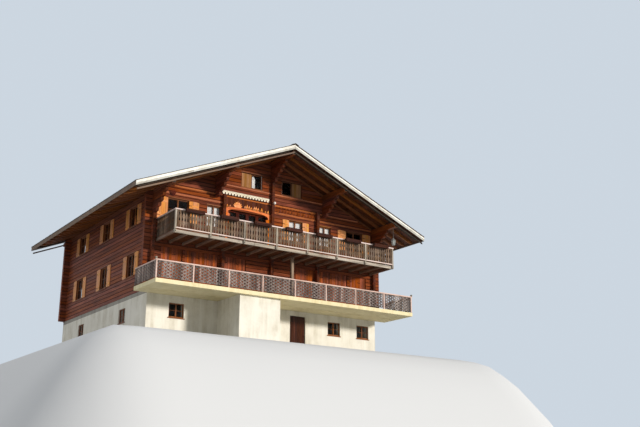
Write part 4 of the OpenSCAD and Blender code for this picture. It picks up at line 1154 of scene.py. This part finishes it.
class CHALET_OT_windows(Operator):
    """Builds window frames, sashes, bars, sills and panes"""
    bl_idname = "chalet.windows"
    bl_label = "Windows"

    def execute(self, context):
        wood, glass = Stock(110), Stock(111)
        for side, *box in in_walls("window_frames"):
            attic = side == "front" and box[2] > ATTIC
            self.frame(functools.partial(wood.on_wall, side), *box, attic)
            bar = 0.034
            a0, a1, z0, z1, d0, _ = box
            mid = (a0 + a1) / 2
            lights = ((a0 + bar, mid - bar / 2, mid < 0), (mid + bar / 2, a1 - bar, mid > 0))
            for b0, b1, outer in lights:
                if attic and outer:
                    for c0, c1 in parts(b0, b1, 4, 0.002):
                        wood.on_wall(side, c0, c1, z0 + bar, z1 - bar, d0 - 0.012, d0 + 0.012, 0.003, Z, 1)
                else:
                    self.sash(wood, glass, side, b0, b1, z0 + bar, z1 - bar, d0 + 0.016, 1 if attic else 2)
        wood.make("window_timbers", "frame_wood", "frames pale_boards dark_planks rail", "window_frames")
        stile, panel = 0.085, 0.70
        for side, a0, a1, z0, z1, d0, d1 in in_walls("loggia_doors"):
            d = (d0 + d1) / 2
            glass.on_wall(side, a0 + stile, a1 - stile, z0 + panel, z1 - stile, d, d + 0.004, 0.0005)
        glass.make("window_panes", "window_glass", "glass", "window_glass")
        return {"FINISHED"}

    def frame(self, put, a0, a1, z0, z1, d0, d1, attic):
        """The outer frame, its middle post, sill and head board."""
        bar, edge = 0.034, 0.004
        mid = (a0 + a1) / 2
        masonry = z1 < FLOOR_1
        plain, left, right = (2, 2 if mid < 0 else 3, 3 if mid < 0 else 2) if attic else (0, 0, 0)
        put(a0, a0 + bar, z0, z1, d0, d1, edge, Z, left)
        put(a1 - bar, a1, z0, z1, d0, d1, edge, Z, right)
        put(a0 + bar, a1 - bar, z1 - bar, z1, d0, d1, finish=plain)
        put(a0 + bar, a1 - bar, z0, z0 + bar, d0, d1, finish=plain)
        put(mid - bar / 2, mid + bar / 2, z0 + bar, z1 - bar, d0 + 0.006, d1, edge, Z, plain)
        sill_end, sill_h, sill_out = 0.05, 0.045, 0.03 if masonry else 0.055
        put(a0 - sill_end, a1 + sill_end, z0 - sill_h, z0 - 0.001, -sill_out, d0 + 0.02, 0.006)
        head_end, head_h, head_out = 0.04, 0.05, 0.022
        if not masonry:
            put(a0 - head_end, a1 + head_end, z1 + 0.001, z1 + head_h, -head_out, 0.0, 0.005)

    def sash(self, wood, glass, side, b0, b1, c0, c1, e0, rows):
        """One light: stiles, rails, its middle bar and the pane."""
        put = functools.partial(wood.on_wall, side)
        bar, e1, play = 0.018, e0 + 0.036, 0.005
        put(b0, b0 + bar, c0, c1, e0, e1, 0.004, Z)
        put(b1 - bar, b1, c0, c1, e0, e1, 0.004, Z)
        put(b0 + bar, b1 - bar, c1 - bar, c1, e0, e1)
        put(b0 + bar, b1 - bar, c0, c0 + bar + 0.012, e0, e1)
        for k in range(1, rows):
            z = c0 + (c1 - c0) * k / rows
            put(b0 + bar, b1 - bar, z - 0.009, z + 0.009, e0 + 0.004, e1 - 0.006, 0.003)
        g = (e0 + e1) / 2
        cut = b0 + bar - play, b1 - bar + play, c0 + bar, c1 - bar + play
        glass.on_wall(side, *cut, g, g + 0.004, 0.0005)


def strap(stock, side, a0, long, z, depth):
    """A flat iron strap."""
    stock.on_wall(side, a0 + 0.01, a0 + long, z - 0.012, z + 0.012, depth - 0.006, depth, 0.002, X, 1)


class CHALET_OT_shutters(Operator):
    """Builds the board shutters beside the windows"""
    bl_idname = "chalet.shutters"
    bl_label = "Shutters"

    def execute(self, context):
        stock = Stock(120)
        board_w, rise, batten_t, batten_half = 0.12, 0.025, 0.012, 0.045
        for side, a0, a1, z0, z1, d0, d1 in in_walls("shutters"):
            face, run, out = SIDES[side]
            front = d0 + batten_t
            for b0, b1 in parts(a0, a1, max(3, round((a1 - a0) / board_w)), 0.003):
                head = ((b, 2 * (b - a0) / (a1 - a0) - 1) for b in np.linspace(b1, b0, 4))
                ring = [(b0, z0), (b1, z0), *((b, z1 - rise * t ** 2) for b, t in head)]
                stock.prism([ring], face - out * d1, run, Z, out * (d1 - front), Z, 0.003)
            heights = [z0 + (z1 - z0) * t for t in (0.14, 0.78)]
            for z in heights:
                stock.on_wall(side, a0 + 0.02, a1 - 0.02, z - batten_half, z + batten_half, d0, front)
            for z in heights:
                strap(stock, side, a0, 0.16, z, d0 + 0.001)
        stock.make("shutter_leaves", "shutter_wood", "shutters iron", "shutters")
        return {"FINISHED"}


class CHALET_OT_doors(Operator):
    """Builds the plank doors of the lower balcony and of the cellar"""
    bl_idname = "chalet.doors"
    bl_label = "Plank doors"

    def execute(self, context):
        self.leaves(context, "plank_doors", "plank_door_leaves", "plank_wood", "planks iron")
        self.leaves(context, "cellar_door", "cellar_door_leaf", "dark_planks", "dark_planks iron")
        return {"FINISHED"}

    def leaves(self, context, node, name, slot, finishes):
        """Doors of upright planks with two straps and a knob."""
        stock = Stock(130)
        knob = [(0.012, 0), (0.010, 0.02), (0.022, 0.03), (0.024, 0.042), (0.012, 0.05)]
        knob_h, knob_in = 1.02, 0.07
        for side, a0, a1, z0, z1, d0, d1 in in_walls(node):
            count = max(3, round((a1 - a0) / context.scene.chalet_sizes.plank))
            for k, (b0, b1) in enumerate(parts(a0, a1, count, 0.003)):
                stock.on_wall(side, b0, b1, z0, z1, d0 + 0.003 * (k % 2), d1, 0.005, Z)
            for t in (0.12, 0.86):
                strap(stock, side, a0, 0.22, z0 + (z1 - z0) * t, d0 - 0.001)
            face, run, out = SIDES[side]
            stock.turned(knob, face + run * (a1 - knob_in) + Z * (z0 + knob_h) - out * d0, 12, out, 1)
        stock.make(name, slot, finishes, node)


class CHALET_OT_curtains(Operator):
    """Hangs the gathered curtains behind the front windows"""
    bl_idname = "chalet.curtains"
    bl_label = "Curtains"

    def execute(self, context):
        leaves = []
        for side, a0, a1, z0, z1, d0, d1 in in_walls("curtains"):
            mid = (a0 + a1) / 2
            attic = z0 > ATTIC
            crown = 0.14 if attic else 0.0
            pair = (a0 + 0.03, mid - 0.012), (mid + 0.012, a1 - 0.03)
            rest = z0 + 0.02, z1 - 0.01 - crown / 2, (d0 + d1) / 2, crown
            leaves += [(side, *reach, *rest) for reach in ([(mid + 0.02, a1 - 0.06)] if attic else pair)]
        for count, leaf in enumerate(leaves, 1):
            self.hang(count, *leaf)
        return {"FINISHED"}

    def hang(self, count, side, a0, a1, z0, z1, depth, crown):
        """One gathered curtain: pleats that open towards the hem, under a straight or a rounded head."""
        gather, pleat_w, thin = 1.2, 0.07, 0.0012
        face, run, out = SIDES[side]
        wide = a1 - a0
        pleats = max(4, round(wide / pleat_w))
        across, up = pleats * 8, 16
        phase = random.Random(count).uniform(0, 6.28)
        amount = 0.4 * wide / pleats * math.sqrt(gather - 1)
        s, t = np.meshgrid(np.linspace(0, 1, across + 1), np.linspace(0, 1, up + 1))
        swing = 0.006 * np.sin(3 * s + phase) * (1 - t)
        fold = np.sin(2 * np.pi * pleats * s + 0.5 * np.sin(4 * t + phase)) * amount * (1 - 0.25 * t)
        pinch = 0.01 * np.sin(np.pi * t) * (s - 0.5)
        drop = z1 - z0 - crown * (2 * s - 1) ** 2
        cloth = (face + (a0 + wide * s - pinch)[..., None] * run + (z0 + drop * t)[..., None] * Z
                 - (depth + fold + swing)[..., None] * out)
        normal = np.cross(np.gradient(cloth, axis=1), np.gradient(cloth, axis=0))
        normal /= np.linalg.norm(normal, axis=2)[..., None]
        points = np.vstack([(cloth + normal * thin).reshape(-1, 3), (cloth - normal * thin).reshape(-1, 3)])
        row, back = across + 1, (across + 1) * (up + 1)
        faces = []
        for j, i in itertools.product(range(0, up * row, row), range(across)):
            quad = [j + i, j + i + 1, j + row + i + 1, j + row + i]
            faces += [quad, [v + back for v in quad[::-1]]]
        rim = [*range(across), *range(across, up * row + across, row),
               *range(up * row + across, up * row, -1), *range(up * row, 0, -row)]
        faces += [[q, p, p + back, q + back] for p, q in zip(rim, rim[1:] + rim[:1])]
        stock = Stock(count)
        stock.add(points, faces, Z, 0, True)
        piece = stock.make(f"curtain_{count}", "curtain_cloth", "curtain", "curtains")


def leaf_outline(long, wide, lean, foot):
    """A pointed leaf that stands on its foot, leaning by an angle in degrees."""
    right = [(wide * w, long * t) for w, t in ((0.18, 0.0), (0.42, 0.25), (0.5, 0.48), (0.34, 0.75))]
    ring = right + [(0.0, long)] + [(-x, z) for x, z in right[::-1]]
    c, s = math.cos(math.radians(lean)), math.sin(math.radians(lean))
    return [(foot[0] + x * c + z * s, foot[1] - x * s + z * c) for x, z in ring]


class CHALET_OT_loggia(Operator):
    """Builds the carved arch and the glazed doors behind it"""
    bl_idname = "chalet.loggia"
    bl_label = "Arch and loggia"

    def execute(self, context):
        self.arch(context.scene.chalet_sizes)
        self.doors()
        return {"FINISHED"}

    def arch(self, sizes):
        """Posts, arched board with brackets, carved leaves on its top and boards behind them."""
        (left, near, _), (right, far, _) = whole("arch_board")
        mid = (left + right) / 2
        post, rise, band = 0.15, 0.22, 0.085
        half = (right - left) / 2 - post
        spring = solids("loggia_doors")[0][1][2] + 0.08 - rise
        foot = spring - 0.05
        stock = Stock(140)

        def under(x):
            return spring + rise * max(0.0, 1 - ((x - mid) / half) ** 2) ** 0.4

        def over(x):
            return spring + (rise + band) * (1 - 0.30 * ((x - mid) / (half + post)) ** 4)

        below = [mid + half * math.sin(t) for t in np.radians(np.linspace(90, -90, 33))]
        ring = [(x, over(x)) for x in np.linspace(left, right, 25)]
        ring += [(right, foot), (right - post, foot)] + [(x, under(x)) for x in below]
        ring += [(left + post, foot), (left, foot)]
        stock.through([ring], near, far, X, 0.004)
        for a0, a1 in ((left, left + post), (right - post, right)):
            stock.board([a0, near, FLOOR_2], [a1, far, foot], 0.006, along=Z)
        for a0, s in ((left + post, 1), (right - post, -1)):
            bracket = [(a0, spring - 0.30), (a0 + s * 0.05, spring - 0.26)]
            bracket += [(a0 + s * (0.05 + 0.08 * math.sin(t)), spring - 0.26 + 0.18 * (1 - math.cos(t)))
                        for t in np.radians(np.linspace(10, 90, 6))]
            stock.through([bracket + [(a0, spring - 0.06)]], near + 0.004, far - 0.004, Z, 0.003)

        def leaf(x, lean, long, wide):
            shape = leaf_outline(long, wide, lean, (x, over(x) - 0.015))
            stock.through([shape], near + 0.003, far - 0.003, Z, 0.003, 1)

        fan = left + 0.27 * (right - left)
        heart = arc((fan, over(fan) - 0.02), 0.19, 0, 180, 12)
        stock.through([heart], near + 0.002, far - 0.002, Z, 0.003, 1)
        for t in np.linspace(-1, 1, sizes.fan_leaves):
            leaf(fan, 62 * t, 0.36 - 0.06 * abs(t), 0.12)
        # Sprigs of three leaves: place along the arch and height of the middle leaf
        sprigs = ((0.045, 0.17), (0.105, 0.12), (0.43, 0.19), (0.475, 0.27), (0.525, 0.24), (0.57, 0.17),
                  (0.635, 0.24), (0.675, 0.27), (0.72, 0.22), (0.80, 0.25), (0.885, 0.15), (0.945, 0.22))
        for share, long in sprigs:
            for lean, tall, wide in ((-20, 0.6, 0.065), (0, 1.0, 0.075), (20, 0.6, 0.065)):
                leaf(left + share * (right - left), lean, long * tall, wide)
        # Boards behind the leaves, in darker tones: painted shade of the recess
        top, board_w, board_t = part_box("lambrequin")[0].z, 0.16, 0.008
        for x0, x1 in parts(left, right, round((right - left) / board_w)):
            low = max(spring - 0.02, min(under(x0), under(x1)) + 0.02)
            stock.board([x0, far - board_t, low], [x1 - 0.003, far, top], 0.002, along=Z, finish=2)
        stock.make("carved_arch", "orange_carving", "arch arch_leaves backing", "arch_board")

    def doors(self):
        """Glazed leaves with a low panel and two bars."""
        stock = Stock(141)
        stile, sole, panel, bar = 0.09, 0.14, 0.70, 0.012
        for side, a0, a1, z0, z1, d0, d1 in in_walls("loggia_doors"):
            put = functools.partial(stock.on_wall, side)
            b0, b1, rail = a0 + stile, a1 - stile, z0 + panel
            put(a0, b0, z0, z1, d0, d1, 0.005, Z)
            put(b1, a1, z0, z1, d0, d1, 0.005, Z)
            for c0, c1 in ((z0, z0 + sole), (rail - stile, rail), (z1 - stile, z1)):
                put(b0, b1, c0, c1, d0, d1, 0.005, X)
            put(b0, b1, z0 + sole, rail - stile, d0 + 0.022, d1 - 0.022, 0.003, Z)
            for t in (1 / 3, 2 / 3):
                z = rail + (z1 - stile - rail) * t
                put(b0, b1, z - bar, z + bar, d0 + bar, d1 - bar, 0.003, X)
        stock.make("loggia_door_leaves", "dark_planks", "loggia_doors", "loggia_doors")


DIAMOND = ((0, -1), (1, 0), (0, 1), (-1, 0))


class CHALET_OT_trim(Operator):
    """Builds the mouldings, the carved frieze and the scalloped board"""
    bl_idname = "chalet.trim"
    bl_label = "Mouldings and scalloped board"

    def execute(self, context):
        self.mouldings()
        self.scallops(context.scene.chalet_sizes.scallops)
        return {"FINISHED"}

    def mouldings(self):
        """String courses, and dentils, lozenges and half rounds in the right bay between two of them."""
        stock = Stock(150)
        boxes = solids("string_courses")
        for low, high in boxes:
            deep, tall = high[1] - low[1], high[2] - low[2]
            ring = [(0, 0), (deep * 0.35, 0.0), (deep * 0.42, tall * 0.16)]
            ring += [(deep * (0.42 + 0.5 * (1 - math.cos(t))), tall * (0.16 + 0.44 * math.sin(t)))
                     for t in np.radians(np.linspace(20, 90, 5))]
            ring += [(deep, tall * 0.68), (deep, tall - 0.004), (deep - 0.004, tall), (0, tall)]
            stock.prism([ring], np.array([low[0], high[1], low[2]]), -Y, Z, X * (high[0] - low[0]), X)
        levels = sorted({round(low[2], 3) for low, high in boxes})
        start, end = next(b for b in boxes if abs(b[0][2] - levels[0]) < 0.01 and 0 < b[0][0] < 1)
        foot, head = end[2], levels[1]
        middle = (foot + head) / 2 - 0.02
        dentils, tall = 15, 0.075
        for a0, a1 in parts(start[0], end[0], dentils):
            mid, w = (a0 + a1) / 2, a1 - a0
            dentil = a0 + 0.02, a1 - 0.02, head - tall, head - 0.002, -0.024, 0.0
            stock.on_wall("front", *dentil, 0.004, Z, 1)
            lozenge = [(mid + a * w * 0.36, middle + b * tall) for a, b in DIAMOND]
            stock.through([lozenge], FRONT - 0.020, FRONT, Z, 0.005, 1)
            stock.through([arc((mid, foot), w / 2 - 0.012, 180, 0, 6)], FRONT - 0.016, FRONT, X, 0.003, 1)
        stock.make("mouldings", "roof_timber", "trim frieze", "string_courses")

    def scallops(self, count):
        """The scalloped board above the arch: pierced teeth under a toothed ledge."""
        stock = Stock(151)
        low, high = whole("lambrequin")
        ledge, thick, tooth = 0.02, 0.03, 0.008
        front, foot, top = low[1], low[2], high[2] - ledge
        tall = top - foot
        for x0, x1 in parts(low[0], high[0], count):
            mid, w = (x0 + x1) / 2, x1 - x0
            half = w / 2 - 0.001
            side = [(half, top)]
            side += [(half * a, foot + b * tall) for a, b in (
                (1, 0.58), (0.44, 0.50), (0.72, 0.30), (0.50, 0.14), (0, 0))]
            ring = [(mid + a, z) for a, z in side] + [(mid - a, z) for a, z in side[-2::-1]]
            hole = [(mid + a * 0.026, foot + (0.74 + b * 0.12) * tall) for a, b in DIAMOND]
            stock.through([ring, hole], front, front + thick, Z)
            for a in (mid - w / 2, mid):
                ring = [(a + 0.004, top), (a + w / 4, top - 0.036), (a + w / 2 - 0.004, top)]
                stock.through([ring], front - tooth, front, Z)
        stock.board([low[0], front - 0.016, top], high)
        stock.make("scalloped_board", "cream_carving", "cream", "lambrequin")


class CHALET_OT_hangings(Operator):
    """Builds the lantern and the empty hanging basket"""
    bl_idname = "chalet.hangings"
    bl_label = "Lantern and basket"

    def execute(self, context):
        self.lantern(*whole("hanging_lantern"))
        self.basket(*whole("hanging_basket"))
        return {"FINISHED"}

    def lantern(self, low, high):
        """A six-sided lantern with a hood, on a chain."""
        stock = Stock(160)
        foot = np.array([*(low + high)[:2] / 2, low[2]])
        radius, hood, neck = (high[0] - low[0]) / 2, 0.28, 0.155
        chain_low, link_w, wire = low[2] + hood + neck, 0.012, 0.0032
        links = parts(chain_low, high[2], round((high[2] - chain_low) / 0.04))
        for k, (z0, z1) in enumerate(links):
            rays = spokes(8, (X if k % 2 else Y) * link_w, Z * (z1 - z0) * 0.62)
            stock.hoop([foot * [1, 1, 0] + Z * (z0 + z1) / 2 + ray for ray in rays], wire)
        roof = ((1.0, 0.0), (0.98, 0.010), (0.62, 0.06), (0.30, 0.115), (0.18, 0.125), (0.16, 0.145),
                (0.05, neck))
        stock.turned(sized(radius, roof, hood), foot, 6, Z, 0, False)
        tray = (0.40, 0.0), (0.66, 0.012), (0.66, 0.030)
        stock.turned(sized(radius, tray), foot, 6, Z, 0, False)
        foot_r, head_r = 0.62, 0.84
        rays = spokes(6, Y, -X)
        for ray, after in zip(rays, rays[1:] + rays[:1]):
            def at(way, share, z):
                return foot + way * radius * share + Z * z

            start, end = at(ray, foot_r, 0.03), at(ray, head_r, hood)
            run = unit(end - start)
            side = unit(np.cross(ray, run))
            rib = 0.012
            stock.board([0, -rib / 2, -rib / 2], [np.linalg.norm(end - start), rib / 2, rib / 2], 0.002,
                        [run, side, np.cross(run, side)], start, run)
            for share, z in ((foot_r, 0.032), (head_r, hood - 0.006)):
                stock.rod(at(ray, share, z), at(after, share, z), 0.006, 6)
            low_edge, top_edge = (foot_r - 0.02, 0.034), (head_r - 0.02, hood - 0.008)
            pane = [at(ray, *low_edge), at(after, *low_edge), at(after, *top_edge), at(ray, *top_edge)]
            thin = unit(ray + after) * 0.003
            rim = [[k, k + 4, (k + 1) % 4 + 4, (k + 1) % 4] for k in range(4)]
            stock.add(pane + [p - thin for p in pane], [[0, 1, 2, 3], [7, 6, 5, 4], *rim], Z, 1)
        bulb = [(0.018, 0.03), (0.018, 0.12), (0.030, 0.14), (0.034, 0.19), (0.016, 0.225)]
        stock.turned(bulb, foot, 16, Z, 2)
        stock.make("lantern", "lantern_metal", "grey_metal clear_glass lamp", "hanging_lantern")

    def basket(self, low, high):
        """A woven basket on three wires and a hook."""
        stock = Stock(161)
        foot = np.array([*(low + high)[:2] / 2, low[2]])
        top_r, low_r, tall = (high[0] - low[0]) / 2, 0.108, 0.20
        stakes, hoops, stake, strand, wire = 28, 11, 0.004, 0.0055, 0.0032
        for ray in spokes(stakes):
            head = foot + ray * (top_r - 0.010) + Z * (tall - 0.008)
            stock.rod(foot + ray * (low_r - 0.006) + Z * 0.008, head, stake, 6)
        rays = spokes(stakes * 2, turn=math.pi / stakes / 2)
        for row in range(hoops):
            share = row / (hoops - 1)
            r = low_r + (top_r - 0.008 - low_r) * share
            weave = [0.005 if (k // 2 + row) % 2 else -0.005 for k in range(len(rays))]
            ring = [foot + ray * min(r + w, top_r - 0.006) for ray, w in zip(rays, weave)]
            stock.hoop([p + Z * (0.010 + (tall - 0.02) * share) for p in ring], strand)
        stock.turned([(low_r - 0.004, 0.0), (low_r, 0.006), (low_r - 0.006, 0.012)], foot, 28)
        knot = foot + Z * 0.52
        stock.rod(knot, foot + Z * (high[2] - low[2]), 0.004, 6, 1)
        for ray in spokes(3, turn=0.5):
            stock.rod(foot + ray * (top_r - 0.012) + Z * (tall - 0.01), knot, wire, 6, 1)
        stock.make("basket", "basket_paint", "basket iron", "hanging_basket")


class CHALET_OT_kept_nodes(Operator):
    """Gives the masonry, slabs, floors and the lamp their finishes"""
    bl_idname = "chalet.kept_nodes"
    bl_label = "Masonry and slabs"

    def execute(self, context):
        kept = {
            "render": "ground_front_wall ground_back_wall ground_left_wall ground_right_wall porch_walls",
            "slab": "lower_balcony_slab", "concrete": "ground_floor first_floor",
            "inner_floor": "upper_floor attic_floor", "lamp": "wall_lamp"}
        for tone, nodes in kept.items():
            for node in nodes.split():
                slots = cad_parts[node].data.materials
                if not slots:
                    slots.append(finish(tone))
                for k in range(len(slots)):
                    slots[k] = finish(tone)
        return {"FINISHED"}


# Camera, in the frame's metres and degrees, solved from the photograph's lines
CAMERA_AT = (-23.835, -44.84, -6.254)
CAMERA_TURNS = (34.51, 16.65, 0.23)
LENS = 51.16
BACKDROP = (0.80, 0.84, 0.88)

# Lamps: name, direction of the light, strength, apparent size in degrees, colour
LAMPS = (
    ("key", (-0.78, 1.0, -0.27), 3.9, 6.0, (1.0, 0.95, 0.88)),
    ("fill_left", (1.0, 0.10, -0.5), 0.35, 40.0, (0.95, 0.97, 1.0)),
    ("fill_back", (0.2, -1.0, -0.6), 1.1, 40.0, (1.0, 0.98, 0.95)),
    ("top", (0.1, 0.2, -1.0), 0.6, 40.0, (1.0, 1.0, 1.0)),
)


class CHALET_OT_stage(Operator):
    """Sets the pale floor, the soft lights and the camera"""
    bl_idname = "chalet.stage"
    bl_label = "Stage"

    def execute(self, context):
        self.floor(context.scene)
        self.lights(context.scene)
        self.camera(context.scene)
        context.scene.view_settings.view_transform = "Standard"
        return {"FINISHED"}

    def floor(self, scene):
        """A level floor round the house that rolls off into lower ground on all sides."""
        fall, slope, mid_y, edge_x, edge_y = 9.0, 10.0, -0.55, 9.6, 9.3
        far = [35.0, 50.0, 80.0, 120.0]
        spots = [-s for s in far[::-1]] + list(np.arange(-26.0, 26.1, 1.0)) + far
        points = []
        for y, x in itertools.product(spots, spots):
            t = min(math.hypot(max(abs(x) - edge_x, 0), max(abs(y - mid_y) - edge_y, 0)) / slope, 1.0)
            points.append((x, y, -fall * t * t * (3 - 2 * t)))
        n = len(spots)
        faces = [[j + i, j + i + 1, j + n + i + 1, j + n + i]
                 for j in range(0, n * (n - 1), n) for i in range(n - 1)]
        mesh = bpy.data.meshes.new("floor")
        mesh.from_pydata(points, [], faces)
        mesh.polygons.foreach_set("use_smooth", [True] * len(faces))
        n = Nodes("floor_paper")
        share = n.span(n.noise(n.place, 0.2, 2.0, 0.4), 0.3, 0.7, 0.0, 0.06)
        unseen = n.mix(share, (0.46, 0.47, 0.47, 1), (0.42, 0.43, 0.43, 1))
        shown = n.mix(share, (0.60, 0.61, 0.62, 1), (0.56, 0.57, 0.58, 1))
        mesh.materials.append(n.done(n.mix(n.seen(), unseen, shown), 0.95, None, 0.1))
        floor = bpy.data.objects.new("floor", mesh)
        scene.collection.objects.link(floor)

    def lights(self, scene):
        """A plain sky that looks paler than it shines, a warm key light and three soft fills."""
        scene.world = bpy.data.worlds.new("studio")
        n = Nodes(scene.world)
        n.tree.nodes.clear()
        sky = n.new("ShaderNodeBackground", {"Color": (0.92, 0.96, 1.0, 1), "Strength": 0.31})
        backdrop = n.new("ShaderNodeBackground", {"Color": linear(BACKDROP), "Strength": 1.0})
        both = n.new("ShaderNodeMixShader", {0: n.seen(), 1: sky.outputs[0], 2: backdrop.outputs[0]})
        n.new("ShaderNodeOutputWorld", {"Surface": both.outputs[0]})
        for name, direction, strength, size, colour in LAMPS:
            lamp = bpy.data.lights.new(name, "SUN")
            lamp.energy = strength
            lamp.angle = math.radians(size)
            lamp.color = colour
            holder = bpy.data.objects.new(name, lamp)
            holder.rotation_mode = "QUATERNION"
            holder.rotation_quaternion = Vector(direction).to_track_quat("-Z", "Y")
            holder.location = (0, 0, 30)
            holder.visible_glossy = False
            scene.collection.objects.link(holder)

    def camera(self, scene):
        data = bpy.data.cameras.new("camera")
        data.lens = LENS
        data.sensor_width = 36.0
        data.clip_end = 500
        camera = bpy.data.objects.new("camera", data)
        scene.collection.objects.link(camera)
        yaw, pitch, roll = (math.radians(a) for a in CAMERA_TURNS)
        ahead = Vector((math.sin(yaw) * math.cos(pitch), math.cos(yaw) * math.cos(pitch), math.sin(pitch)))
        level = ahead.to_track_quat("-Z", "Y")
        level.rotate(Quaternion(ahead, -roll))
        camera.rotation_mode = "QUATERNION"
        camera.rotation_quaternion = level
        camera.location = CAMERA_AT
        scene.camera = camera


BUILDERS = (CHALET_OT_stage, CHALET_OT_kept_nodes, CHALET_OT_log_walls, CHALET_OT_log_ends,
            CHALET_OT_roof_timbers, CHALET_OT_barge_boards, CHALET_OT_shingles, CHALET_OT_balcony_deck,
            CHALET_OT_upper_railing, CHALET_OT_lower_railing, CHALET_OT_windows, CHALET_OT_shutters,
            CHALET_OT_doors, CHALET_OT_curtains, CHALET_OT_loggia, CHALET_OT_trim, CHALET_OT_hangings)


class CHALET_PT_panel(Panel):
    """Lists the steps that build the house and its sizes"""
    bl_idname = "CHALET_PT_panel"
    bl_label = "Alpine chalet"
    bl_space_type = "VIEW_3D"
    bl_region_type = "UI"
    bl_category = "Chalet"

    def draw(self, context):
        for builder in BUILDERS:
            self.layout.operator(builder.bl_idname)
        for group in (context.scene.chalet_sizes, context.scene.chalet_colours):
            column = self.layout.column()
            for key in group.__annotations__:
                column.prop(group, key)


CLASSES = (ChaletSizes, ChaletColours) + BUILDERS + (CHALET_PT_panel,)


def register():
    for kind in CLASSES:
        bpy.utils.register_class(kind)
    bpy.types.Scene.chalet_sizes = PointerProperty(type=ChaletSizes)
    bpy.types.Scene.chalet_colours = PointerProperty(type=ChaletColours)


def unregister():
    del bpy.types.Scene.chalet_colours
    del bpy.types.Scene.chalet_sizes
    for kind in reversed(CLASSES):
        bpy.utils.unregister_class(kind)


def main():
    """Builds the whole house."""
    register()
    for builder in BUILDERS:
        group, action = builder.bl_idname.split(".")
        getattr(getattr(bpy.ops, group), action)()


if __name__ == "__main__":
    main()
